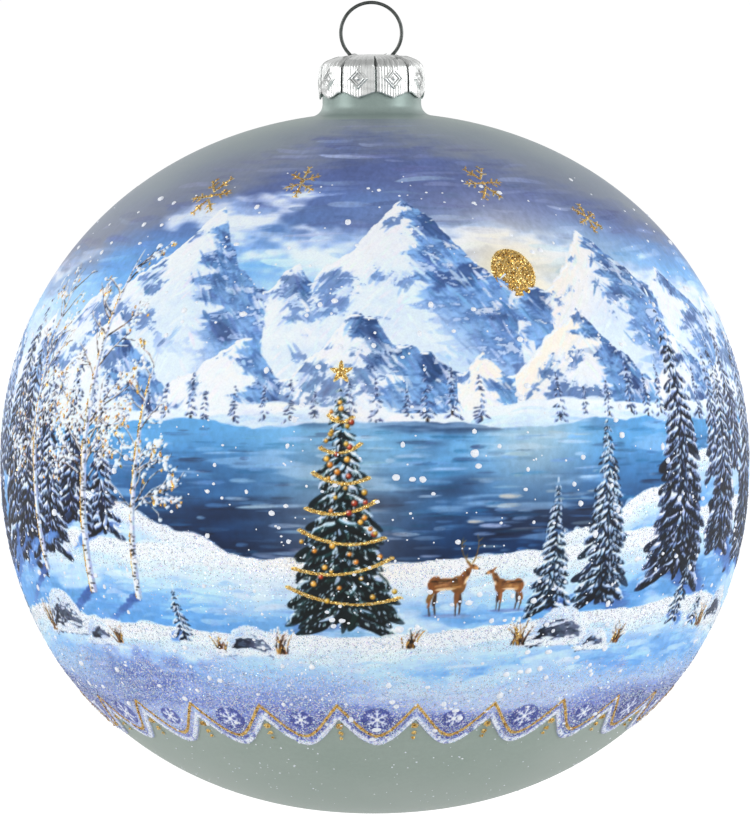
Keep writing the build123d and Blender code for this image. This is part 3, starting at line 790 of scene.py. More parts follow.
def compose():
    paint_sky()
    snowflake(-39, 53.5, 4.6, turn=8)
    snowflake(-17, 56.0, 3.6, turn=25)
    snowflake(27, 55.5, 4.2, turn=2)
    snowflake(49, 48.5, 3.4, turn=18)
    # low sun
    z = Z_ROWS[:, None]
    x = (AZ_COLS[None, :] - 25) * math.pi / 180 * R_ROWS[:, None]
    rr = np.hypot(x, z - 38.2)
    lay((0.55 * np.exp(-(rr / 9.0) ** 2)).astype(np.float32), C(255, 232, 180))
    disc = smooth(4.7, 4.3, rr).astype(np.float32)
    lay(disc, C(252, 214, 120), 0.12, gold=1.0)
    paint_mountains()
    # far shore: haze and a belt of small trees
    hill([(-181, 13), (-140, 15), (-95, 12.5), (-62, 15.5), (-40, 12), (-15, 13.5), (8, 11.5), (30, 13.8), (52, 12.2), (85, 15.5), (130, 12.5), (181, 13)],
         C(226, 236, 250), C(150, 182, 228), 500, strokes=1700, soft=6)
    g = np.random.default_rng(4)
    a = -179.0
    while a < 180:
        if not (17 < a < 27):
            h = g.uniform(5.0, 10.5) * (1.25 if abs(a) > 40 else 1.0)
            zb = 10.3 + g.uniform(-0.8, 1.2)
            fir(a, zb, h, h * 0.48, dark=C(44, 66, 124), mid=C(84, 112, 176), snow=SNOW2, shade=C(140, 164, 216), cover=0.7, detail=0.7, lift=0.10)
        a += g.uniform(2.2, 5.2)
    lake()
    # left and right shores
    hill([(-181, 7), (-150, 9), (-118, 5), (-92, 9.5), (-72, 6), (-58, 1.5), (-44, -5.0), (-30, -11), (-16, -19), (-4, -30)], SNOW, C(102, 160, 226), 520, gli=0.5, strokes=1500, soft=10)
    hill([(6, -30), (18, -19.5), (33, -11), (46, -4), (60, 3.5), (80, 8), (104, 4.5), (130, 8.5), (160, 6), (181, 7)], SNOW, C(102, 160, 226), 530, gli=0.5, strokes=1500, soft=10)
    # spruces up the right shore
    for a, zb, h, k in ((108, 2, 30, 0), (122, 0, 33, 0), (140, 3, 27, 0), (158, 0, 34, 0), (175, 1, 29, 0), (-170, 0, 33, 0), (-152, 2, 28, 0), (-136, -1, 34, 0), (-120, 1, 29, 0), (-104, -2, 34, 0),
                        (93, -2, 35, 0), (84, 1, 30, 0), (-88, 0, 31, 0), (-78, 1, 26, 0), (71, 0, 31, 0), (63, -1, 25, 0), (-67, -1, 23, 0)):
        fir(a, zb, h, h * 0.50, dark=C(28, 46, 100), mid=C(66, 92, 156), snow=C(228, 236, 250), shade=C(142, 166, 218), cover=0.82, detail=1.05, lift=0.16)
    # near ground
    hill([(-181, -10), (-150, -6), (-120, -11), (-95, -7), (-74, -11), (-55, -11.0), (-36, -13.5), (-14, -16.0), (6, -17.0), (26, -15.0), (44, -11.5), (60, -8), (78, -6), (104, -10), (130, -6.5), (160, -9), (181, -10)],
         SNOW, C(92, 154, 224), 540, gli=0.45, strokes=3200, soft=13)
    for a, zb, h, w in ((101, -14, 43, 22), (-97, -13, 42, 21), (-146, -14, 44, 22), (150, -15, 45, 23), (-179, -15, 41, 21), (124, -12, 38, 19), (-120, -15, 40, 20), (79, -17, 46, 23), (-84, -18, 46, 23), (-71, -15, 52, 25), (-60, -13, 38, 19),
                        (66, -15, 40, 20), (53, -19, 53, 25)):
        cast(a, zb, h, w * 0.8)
        fir(a, zb, h, w, dark=C(16, 36, 84), mid=C(48, 78, 146), snow=SNOW, shade=C(132, 160, 216), cover=0.86, detail=1.35, lift=0.2)
    for a, zb, h, w in ((-45, -10, 26, 13), (-52, -8, 33, 16), (-58, -10, 30, 15), (-66, -11, 42, 20)):
        cast(a, zb, h, w * 0.8)
        fir(a, zb, h, w, dark=C(16, 34, 84), mid=C(46, 76, 146), snow=SNOW, shade=C(126, 156, 216), cover=0.80, detail=1.15, lift=0.18)
    for a, zb, h, w in ((-62, -19, 40, 3.5), (-50, -23, 46, 4), (-40, -24, 34, 3.5), (-5, -27, 26, 24), (28, -25.5, 20, 11), (37, -24, 28, 15)):
        cast(a, zb, h, w)
    birch(-62, -19, 57, -3.0, 31, 1.0)
    birch(-50, -23, 66, 2.5, 32, 1.15)
    birch(-40, -24, 47, 4.0, 37, 0.85)
    lit_tree(-5, -27, 45, 27)
    fir(28, -25.5, 24, 13, dark=C(18, 44, 78), mid=C(44, 88, 142), cover=0.80, detail=1.2)
    fir(37, -24, 35, 18, dark=C(16, 40, 78), mid=C(44, 84, 142), cover=0.82, detail=1.3)
    deer(10.8, -27.2, 8.2, 1, True, 41)
    deer(20.8, -26.4, 6.6, -1, False, 42)
    # foreground bank with boulders, young firs and dry grass
    hill([(-181, -27), (-150, -30), (-118, -25), (-90, -29), (-66, -26.5), (-44, -29), (-22, -30.5), (0, -31.5), (20, -29.5), (40, -27), (62, -25), (88, -30), (118, -26), (150, -29.5), (181, -27)],
         SNOW, C(96, 154, 224), 550, gli=0.6, strokes=2800, soft=11)
    for a, zb, h, w in ((-33, -31.5, 10, 6.5), (57, -29.5, 13, 8), (64, -30.5, 8, 5.5), (-84, -29, 12, 8), (110, -29, 12, 8), (152, -30, 9, 6), (-160, -30, 13, 8), (-118, -29, 9, 6)):
        cast(a, zb + 0.2, h * 0.7, w)
        fir(a, zb, h, w, dark=C(18, 42, 82), mid=C(48, 84, 146), cover=0.82, detail=1.0, lift=0.2)
    for a, zb, w, h, s in ((-61, -31.5, 13, 6.0, 1), (-52, -33.2, 7, 3.2, 2), (-21, -34.5, 9, 3.8, 3), (31, -33.2, 11, 5.0, 4), (38.5, -34.4, 5.5, 2.6, 5), (74, -31.5, 10, 5.0, 6),
                           (98, -31.5, 13, 6.2, 7), (131, -31.5, 9, 4.2, 8), (168, -31.5, 12, 5.4, 9), (-146, -31.5, 10, 4.6, 10), (-103, -31.5, 12, 5.6, 11)):
        cast(a, zb + 0.2, h * 0.6, w * 0.9)
        stone(a, zb - 0.4, w * 1.15, h * 1.4, 600 + s)
    for a, zb, h, s in ((-67.5, -31.5, 6.5, 1), (-47.5, -33.2, 4.6, 2), (-15.5, -34.6, 5.0, 3), (-26.5, -34.4, 4.0, 4), (5.5, -33.6, 4.2, 5), (24.0, -33.4, 5.6, 6), (43.5, -33.8, 4.4, 7),
                        (68, -31.8, 5.6, 8), (89, -31.6, 6.0, 9), (124, -31.6, 5.0, 10), (160, -31.6, 5.6, 11), (-152, -31.6, 5.0, 12), (-95, -31.6, 5.6, 13), (-128, -31.6, 4.6, 14)):
        grass(a, zb, h, 660 + s)
    border()
    finish_layers()

def finish_layers():
    # the thickest dabs are eased down, so that no coating reaches half a millimetre
    HGT[...] = np.where(HGT > 0.24, 0.24 + 0.12 * (1 - np.exp(-(HGT - 0.24) / 0.12)), HGT)
    # fine speckle and a little unevenness of the paint, then the whole
    # picture gets deeper darks and a shade less violet
    n = noise2(801, 1.1, 2)
    big = noise2(802, 12, 3)
    COL[...] = np.clip(COL * (1 + 0.035 * n[..., None] + 0.03 * big[..., None]), 0, 1)
    y = COL @ np.array([0.30, 0.59, 0.11], np.float32)
    x = np.clip((y - 0.03) / 0.91, 0, 1)
    y2 = y + 0.80 * (x * x * (3 - 2 * x) - y) - 0.012
    k = np.maximum(y2 / np.maximum(y, 0.02), 0.12)[..., None]
    COL[...] = np.clip(COL * k, 0, 1)
    blue = COL[..., 2] - np.maximum(COL[..., 0], COL[..., 1])
    COL[..., 2] -= np.clip(blue, 0, 1) * 0.10
    COL[..., 1] += np.clip(COL[..., 0] - COL[..., 1], 0, 0.2) * (blue > 0) * 0.8


# ------------------------------------------------------------------ camera
scene = bpy.context.scene
for view_key, view_value in (("view_transform", "Standard"), ("look", "None"), ("exposure", 0.0), ("gamma", 1.0)):
    setattr(scene.view_settings, view_key, view_value)


def add_object(name, data):
    ob = bpy.data.objects.new(name, data)
    scene.collection.objects.link(ob)
    return ob


def aim(ob, at):
    ob.rotation_mode = "QUATERNION"
    ob.rotation_quaternion = (Vector(at) - ob.location).to_track_quat("-Z", "Y")


lens = bpy.data.cameras.new("camera")
camera = add_object("camera", lens)
target = Vector((0.0001, 0.0, (EQ + 10.79) * MM))
tilt = math.radians(1.5)
camera.location = target + Vector((0, -math.cos(tilt), math.sin(tilt))) * 1.5
aim(camera, target)
camera.rotation_quaternion = camera.rotation_quaternion @ Matrix.Rotation(math.radians(-0.5), 3, "Z").to_quaternion()
lens.sensor_fit = "HORIZONTAL"
lens.sensor_width = 36.0
lens.lens = 358.3
lens.clip_start, lens.clip_end = 0.05, 60.0
scene.camera = camera


# ------------------------------------------------------------------ node helpers
class Tree:
    """A node tree with short ways to add and join nodes."""

    def __init__(self, name, world=False):
        self.owner = (bpy.data.worlds if world else bpy.data.materials).new(name)
        self.owner.use_nodes = True
        self.tree = self.owner.node_tree
        self.tree.nodes.clear()
        self.made = 0

    def put(self, socket, value):
        if isinstance(value, bpy.types.NodeSocket):
            self.tree.links.new(value, socket)
        else:
            socket.default_value = value

    def add(self, kind, ins=None, **props):
        n = self.tree.nodes.new("ShaderNode" + kind)
        n.location = (self.made % 9 * 210, -(self.made // 9) * 300)
        self.made += 1
        for k, v in props.items():
            setattr(n, k, v)
        for k, v in (ins or {}).items():
            self.put(n.inputs[k], v)
        return n

    def math(self, op, a, b=0.0, c=0.0, clamp=False):
        n = self.add("Math", operation=op, use_clamp=clamp)
        for i, v in enumerate((a, b, c)):
            self.put(n.inputs[i], v)
        return n.outputs[0]

    def vec(self, op, a, b=(0, 0, 0), scale=None):
        n = self.add("VectorMath", operation=op)
        self.put(n.inputs[0], a)
        if op != "NORMALIZE":
            self.put(n.inputs[1], b)
        if scale is not None:
            self.put(n.inputs["Scale"], scale)
        return n.outputs[0]

    def mix(self, f, a, b, mode="MIX"):
        n = self.add("Mix", data_type="RGBA", blend_type=mode)
        self.put(n.inputs[0], f)
        self.put(n.inputs[6], a)
        self.put(n.inputs[7], b)
        return n.outputs[2]

    def mixf(self, f, a, b):
        n = self.add("Mix", data_type="FLOAT")
        self.put(n.inputs[0], f)
        self.put(n.inputs[2], a)
        self.put(n.inputs[3], b)
        return n.outputs[0]

    def span(self, x, a, b, to_a=0.0, to_b=1.0, smooth_it=False):
        n = self.add("MapRange", {"Value": x, "From Min": a, "From Max": b, "To Min": to_a, "To Max": to_b},
                     interpolation_type="SMOOTHSTEP" if smooth_it else "LINEAR")
        return n.outputs[0]

    def noise(self, at, scale, detail=3.0, rough=0.5, distortion=0.0):
        return self.add("TexNoise", {"Vector": at, "Scale": scale, "Detail": detail,
                                     "Roughness": rough, "Distortion": distortion}).outputs["Fac"]

    def ramp(self, x, stops):
        n = self.add("ValToRGB", {"Fac": x})
        e = n.color_ramp.elements
        while len(e) < len(stops):
            e.new(0.5)
        for k, (p, c) in enumerate(stops):
            e[k].position, e[k].color = p, (*c, 1)
        return n.outputs["Color"]

    def end(self, surface):
        kind = "OutputWorld" if isinstance(self.owner, bpy.types.World) else "OutputMaterial"
        self.add(kind, {"Surface": surface})
        return self.owner


def srgb(r, g, b):
    """Display colour 0-255 to linear."""
    out = []
    for v in (r, g, b):
        v /= 255
        out.append(v / 12.92 if v <= 0.04045 else ((v + 0.055) / 1.055) ** 2.4)
    return (*out, 1.0)


def to_linear(c):
    c = np.clip(c, 0, 1)
    return np.where(c <= 0.04045, c / 12.92, ((c + 0.055) / 1.055) ** 2.4)


# ------------------------------------------------------------------ studio
def studio():
    w = Tree("studio", world=True)
    way = w.add("SeparateXYZ", {"Vector": w.add("TexCoord").outputs["Generated"]})
    up = way.outputs["Z"]
    dome = w.ramp(w.span(up, -1, 1), [(0.0, (0.60,) * 3), (0.42, (0.72,) * 3), (0.50, (1.0,) * 3), (0.66, (0.94,) * 3),
                                      (0.80, (0.80,) * 3), (0.90, (0.62,) * 3), (1.0, (0.52,) * 3)])
    seen = w.add("Background", {"Color": (1, 1, 1, 1), "Strength": 1.02})
    lit = w.add("Background", {"Color": dome, "Strength": 0.86})
    camera_ray = w.add("LightPath").outputs["Is Camera Ray"]
    both = w.add("MixShader", {"Fac": camera_ray})
    w.put(both.inputs[1], lit.outputs[0])
    w.put(both.inputs[2], seen.outputs[0])
    scene.world = w.end(both.outputs[0])

    for name, at, size, watts, tint in (
            ("softbox_left", (-1.75, -0.75, 0.35), (0.9, 1.5), 13.0, (1.0, 1.0, 1.0)),
            ("softbox_right", (1.75, -0.70, 0.20), (0.9, 1.5), 14.5, (0.97, 0.99, 1.0)),
            ("softbox_back_left", (-1.2, 1.35, 0.5), (0.8, 1.0), 2.5, (1.0, 1.0, 1.0)),
            ("softbox_back_right", (1.3, 1.30, 0.4), (0.8, 1.0), 2.5, (1.0, 1.0, 1.0))):
        light = bpy.data.lights.new(name, "AREA")
        light.shape, light.size, light.size_y = "RECTANGLE", size[0], size[1]
        light.energy, light.color = watts, tint
        ob = add_object(name, light)
        ob.location = at
        aim(ob, (0, 0, -0.09))

    n, radius = 96, 14.0
    rim = [(math.cos(2 * math.pi * k / n) * radius, math.sin(2 * math.pi * k / n) * radius, -0.30)
           for k in range(n)]
    me = bpy.data.meshes.new("studio_floor")
    me.from_pydata(rim, [], [tuple(range(n))])
    floor = add_object("studio_floor", me)
    f = Tree("studio_floor")
    at = f.add("TexCoord").outputs["Object"]
    tone = f.span(f.noise(at, 3.0), 0.3, 0.7, 0.80, 0.83)
    white = f.add("CombineColor", {0: tone, 1: tone, 2: tone})
    floor_bsdf = f.add("BsdfPrincipled", {"Base Color": white.outputs[0], "Roughness": 0.9,
                                          "Specular IOR Level": 0.0, "Emission Color": (1, 1, 1, 1),
                                          "Emission Strength": f.span(f.add("LightPath").outputs["Is Camera Ray"],
                                                                      0, 1, 0.10, 0.62)})
    me.materials.append(f.end(floor_bsdf.outputs[0]))


studio()


# ------------------------------------------------------------------ lacquer
PEARL = 0.36                          # share of the lacquer that shines like metal


def lacquer(t, at):
    """The bare satin lacquer: colour and roughness sockets. The ball and the
    painted shell both use it, so one runs into the other."""
    way = t.add("SeparateXYZ", {"Vector": at})
    cloud = t.noise(at, 34.0, 3.0, 0.55)
    mottle = t.noise(at, 900.0, 4.0, 0.6)
    pearl = t.add("TexVoronoi", {"Vector": at, "Scale": 5200.0}).outputs["Color"]
    grain = t.add("SeparateColor", {0: pearl}).outputs[0]
    base = t.mix(t.span(cloud, 0.35, 0.65), srgb(153, 168, 159), srgb(160, 173, 165))
    shoulder = t.span(way.outputs["Z"], (EQ - 4) * MM, (EQ + 38) * MM, smooth_it=True)
    base = t.mix(shoulder, base, srgb(145, 157, 165))
    high = t.span(way.outputs["Z"], (EQ + 58) * MM, (EQ + 73) * MM, smooth_it=True)
    base = t.mix(high, base, srgb(150, 166, 161))
    k = t.math("ADD", t.span(mottle, 0.3, 0.7, 0.955, 1.045), t.span(grain, 0, 1, -0.035, 0.035))
    grey = t.add("CombineColor", {0: k, 1: k, 2: k}).outputs[0]
    colour = t.mix(1.0, base, grey, "MULTIPLY")
    rough = t.math("ADD", t.span(mottle, 0.3, 0.7, 0.36, 0.44), t.span(grain, 0, 1, -0.05, 0.05))
    return colour, rough, mottle


def lacquer_material():
    t = Tree("satin_lacquer")
    at = t.add("TexCoord").outputs["Object"]
    colour, rough, mottle = lacquer(t, at)
    bump = t.add("Bump", {"Strength": 0.10, "Distance": 0.00002, "Height": mottle})
    b = t.add("BsdfPrincipled", {"Base Color": colour, "Roughness": rough,
                                 "Normal": bump.outputs[0], "Metallic": PEARL,
                                 "Specular IOR Level": 0.28})
    return t.end(b.outputs[0])


def flake_tilt(t, at, scale, tilt):
    """A random facet for each small cell: its normal, and its three random numbers."""
    cell = t.add("TexVoronoi", {"Vector": at, "Scale": scale}).outputs["Color"]
    lean = t.vec("SUBTRACT", cell, (0.5, 0.5, 0.5))
    lean = t.vec("SCALE", lean, scale=tilt)
    up = t.add("NewGeometry").outputs["Normal"]
    normal = t.vec("NORMALIZE", t.vec("ADD", up, lean))
    parts = t.add("SeparateColor", {0: cell})
    return normal, parts.outputs[0], parts.outputs[1], parts.outputs[2]


def paint_material():
    """Brushed and stippled artist's paint over the lacquer, with fine glitter
    and gold strewn into it where the mesh says so."""
    t = Tree("artist_paint")
    at = t.add("TexCoord").outputs["Object"]
    bare, bare_rough, mottle = lacquer(t, at)
    paint = t.add("Attribute", attribute_name="paint")
    fx = t.add("SeparateColor", {0: t.add("Attribute", attribute_name="fx").outputs["Color"]})
    glitter, gold, cover = fx.outputs[0], fx.outputs[1], paint.outputs["Alpha"]
    fine = t.noise(at, 2600.0, 3.0, 0.6)
    k = t.span(fine, 0.25, 0.75, 0.94, 1.06)
    pigment = t.mix(1.0, paint.outputs["Color"], t.add("CombineColor", {0: k, 1: k, 2: k}).outputs[0], "MULTIPLY")
    colour = t.mix(cover, bare, pigment)
    rough = t.mixf(cover, bare_rough, t.span(fine, 0.3, 0.7, 0.42, 0.60))
    bump = t.add("Bump", {"Strength": t.math("MULTIPLY", cover, 0.35), "Distance": 0.00004, "Height": fine})
    body = t.add("BsdfPrincipled", {"Base Color": colour, "Roughness": rough,
                                    "Normal": bump.outputs[0], "Specular IOR Level": 0.28,
                                    "Metallic": t.span(cover, 0.0, 1.0, PEARL, 0.0)})
    # iridescent specks
    n1, a1, b1, c1 = flake_tilt(t, at, 5200.0, 0.7)
    hue = t.ramp(b1, [(0.0, (0.86, 0.93, 1.0)), (0.25, (0.42, 0.72, 1.0)), (0.45, (0.90, 0.95, 1.0)),
                      (0.62, (0.66, 0.66, 1.0)), (0.72, (0.95, 0.76, 1.0)), (0.80, (0.36, 0.48, 0.98)), (0.92, (0.98, 0.98, 1.0))])
    specks = t.add("BsdfPrincipled", {"Base Color": hue, "Metallic": 0.6, "Roughness": 0.24, "Normal": n1})
    on1 = t.math("LESS_THAN", a1, t.math("MULTIPLY", glitter, 0.37))
    m1 = t.add("MixShader", {"Fac": on1})
    t.put(m1.inputs[1], body.outputs[0])
    t.put(m1.inputs[2], specks.outputs[0])
    # gold grains
    n2, a2, b2, c2 = flake_tilt(t, at, 3300.0, 1.1)
    gilt = t.ramp(b2, [(0.0, (0.30, 0.15, 0.03)), (0.3, (0.74, 0.43, 0.09)), (0.65, (0.95, 0.65, 0.20)),
                       (0.93, (1.0, 0.86, 0.50))])
    grains = t.add("BsdfPrincipled", {"Base Color": gilt, "Metallic": 1.0, "Roughness": 0.30, "Normal": n2})
    on2 = t.math("LESS_THAN", a2, t.span(gold, 0.25, 0.8, 0.0, 1.0))
    m2 = t.add("MixShader", {"Fac": on2})
    t.put(m2.inputs[1], m1.outputs[0])
    t.put(m2.inputs[2], grains.outputs[0])
    return t.end(m2.outputs[0])


def flake_material(name, metallic, roughness):
    """Loose glitter flakes, each tinted by the mesh."""
    t = Tree(name)
    at = t.add("TexCoord").outputs["Object"]
    tint = t.add("Attribute", attribute_name="tint").outputs["Color"]
    haze = t.span(t.noise(at, 3800.0, 2.0), 0.3, 0.7, 0.86, 1.08)
    colour = t.mix(1.0, tint, t.add("CombineColor", {0: haze, 1: haze, 2: haze}).outputs[0], "MULTIPLY")
    rough = t.span(t.noise(at, 2400.0, 2.0), 0.3, 0.7, roughness - 0.05, roughness + 0.06)
    b = t.add("BsdfPrincipled", {"Base Color": colour, "Metallic": metallic, "Roughness": rough})
    return t.end(b.outputs[0])


def snow_material():
    t = Tree("snow_paste")
    at = t.add("TexCoord").outputs["Object"]
    n = t.noise(at, 1900.0, 4.0, 0.65)
    colour = t.mix(t.span(n, 0.35, 0.65), srgb(222, 230, 244), srgb(252, 253, 255))
    bump = t.add("Bump", {"Strength": 0.5, "Distance": 0.00006, "Height": n})
    b = t.add("BsdfPrincipled", {"Base Color": colour, "Roughness": t.span(n, 0.3, 0.7, 0.5, 0.7),
                                 "Normal": bump.outputs[0], "Specular IOR Level": 0.4})
    return t.end(b.outputs[0])


def silver_material():
    """Bright stamped tinplate: fine drawn lines and a little haze, with painted shade darkening it in the creases,
    grooves and slits that the cap mesh marks.
    """
    t = Tree("stamped_silver")
    at = t.add("TexCoord").outputs["Object"]
    flat = t.add("Mapping", {"Vector": at, "Scale": (1.0, 1.0, 0.06)}).outputs[0]
    lines = t.noise(flat, 9000.0, 2.0, 0.5)
    haze = t.noise(at, 420.0, 4.0, 0.6)
    # noise that breaks up the painted shade in the creases
    crease_shade_variation = t.noise(at, 1500.0, 3.0, 0.7)
    crease_shade = t.add("Attribute", attribute_name="crease_shade").outputs["Fac"]
    colour = t.mix(t.span(haze, 0.3, 0.7), (0.745, 0.765, 0.752, 1), (0.855, 0.868, 0.857, 1))
    # painted shade: near black in the creases, grooves and slits, by the cap mesh's attribute
    colour = t.mix(t.math("MULTIPLY", crease_shade, t.span(crease_shade_variation, 0.2, 0.7, 0.55, 1.0)), colour, (0.12, 0.13, 0.13, 1))
    rough = t.math("ADD", t.span(haze, 0.3, 0.7, 0.17, 0.26), t.span(lines, 0.3, 0.7, -0.02, 0.05))
    bump = t.add("Bump", {"Strength": 0.12, "Distance": 0.00002, "Height": lines})
    b = t.add("BsdfPrincipled", {"Base Color": colour, "Metallic": 1.0, "Roughness": rough,
                                 "Normal": bump.outputs[0]})
    return t.end(b.outputs[0])


def steel_material():
    """Drawn spring wire: dark, with fine lines along it and small scuffs."""
    t = Tree("spring_steel")
    at = t.add("TexCoord").outputs["Object"]
    scuff = t.noise(at, 1300.0, 4.0, 0.65)
    drawn = t.noise(t.add("Mapping", {"Vector": at, "Scale": (1.0, 1.0, 0.12)}).outputs[0], 7000.0, 2.0)
    colour = t.mix(t.span(scuff, 0.3, 0.7), (0.060, 0.068, 0.064, 1), (0.13, 0.14, 0.135, 1))
    rough = t.math("ADD", t.span(scuff, 0.3, 0.7, 0.18, 0.30), t.span(drawn, 0.3, 0.7, -0.04, 0.04))
    bump = t.add("Bump", {"Strength": 0.15, "Distance": 0.00002, "Height": drawn})
    b = t.add("BsdfPrincipled", {"Base Color": colour, "Metallic": 1.0, "Roughness": rough,
                                 "Normal": bump.outputs[0]})
    return t.end(b.outputs[0])


def give(ob, material):
    ob.data.materials.clear()
    ob.data.materials.append(material)


def ball_outline(a, b_low, b_up, wall_r, leave_r, steps):
    """The ball's half outline in mm from the equator, pole to the neck: two
    half superellipses, then an arc that turns up into the neck."""
    last = math.degrees(math.acos((leave_r / a) ** (N_UP / 2)))
    t = np.concatenate([np.linspace(-90, 0, steps)[:-1], np.linspace(0, last, steps)])
    ang = np.radians(t)
    n = np.where(t < 0, N_LOW, N_UP)
    r = a * np.abs(np.cos(ang)) ** (2 / n)
    z = np.where(t < 0, -b_low, b_up) * np.abs(np.sin(ang)) ** (2 / n)
    r[0] = 0.0
    fall = math.atan((b_up / a) ** N_UP * (leave_r / z[-1]) ** (N_UP - 1))
    turn = (leave_r - wall_r) / (1 - math.sin(fall))
    cx, cz = leave_r + turn * math.sin(fall), z[-1] + turn * math.cos(fall)
    f = np.linspace(fall, math.pi / 2, 18)[1:]
    return np.concatenate([r, cx - turn * np.sin(f)]), np.concatenate([z, cz - turn * np.cos(f)])


def smooth_ball():
    """The blown ball, wall and neck as in the CAD, turned finely enough for
    a clean outline."""
    ro, zo = ball_outline(A_R, B_LOW, B_UP, 9.9, 12.0, 100)
    ri, zi = ball_outline(A_R - 1, B_LOW - 1, B_UP - 1, 8.6, 10.0, 22)
    top, rim = 78.8, 0.45
    zs = np.linspace(zo[-1], top - rim, 7)[1:]
    c = np.radians(np.linspace(0, 90, 7))[1:]
    d = np.radians(np.linspace(90, 0, 7))
    zd = np.linspace(top - rim, zi[-1], 7)[1:]
    r = np.concatenate([ro, zs * 0 + 9.9, 9.9 - rim + rim * np.cos(c), 8.6 + rim - rim * np.cos(d), zd * 0 + 8.6, ri[::-1][1:]])
    z = np.concatenate([zo, zs, top - rim + rim * np.sin(c), top - rim + rim * np.sin(d), zd, zi[::-1][1:]])
    n, m = 312, len(r)
    verts = [(0.0, 0.0, (EQ + z[0]) * MM)]
    for j in range(1, m - 1):
        for i in range(n):
            a = 2 * math.pi * i / n
            verts.append((r[j] * math.cos(a) * MM, r[j] * math.sin(a) * MM, (EQ + z[j]) * MM))
    verts.append((0.0, 0.0, (EQ + z[-1]) * MM))
    end = len(verts) - 1
    faces = [(0, 1 + (i + 1) % n, 1 + i) for i in range(n)]
    for j in range(m - 3):
        for i in range(n):
            a, b = 1 + j * n + i, 1 + j * n + (i + 1) % n
            faces.append((a, b, b + n, a + n))
    last = 1 + (m - 3) * n
    faces += [(last + i, last + (i + 1) % n, end) for i in range(n)]
    me = bpy.data.meshes.new("blown_ball")
    me.from_pydata(verts, [], faces)
    me.shade_smooth()
    me.materials.append(lacquer_material())
    ball = add_object("blown_ball", me)
    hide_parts("glass_ball")
    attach(ball, "ball")


smooth_ball()
STEEL = steel_material()
for wire in ("hanger_loop", "leg_left", "leg_right"):
    give(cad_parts[wire], STEEL)


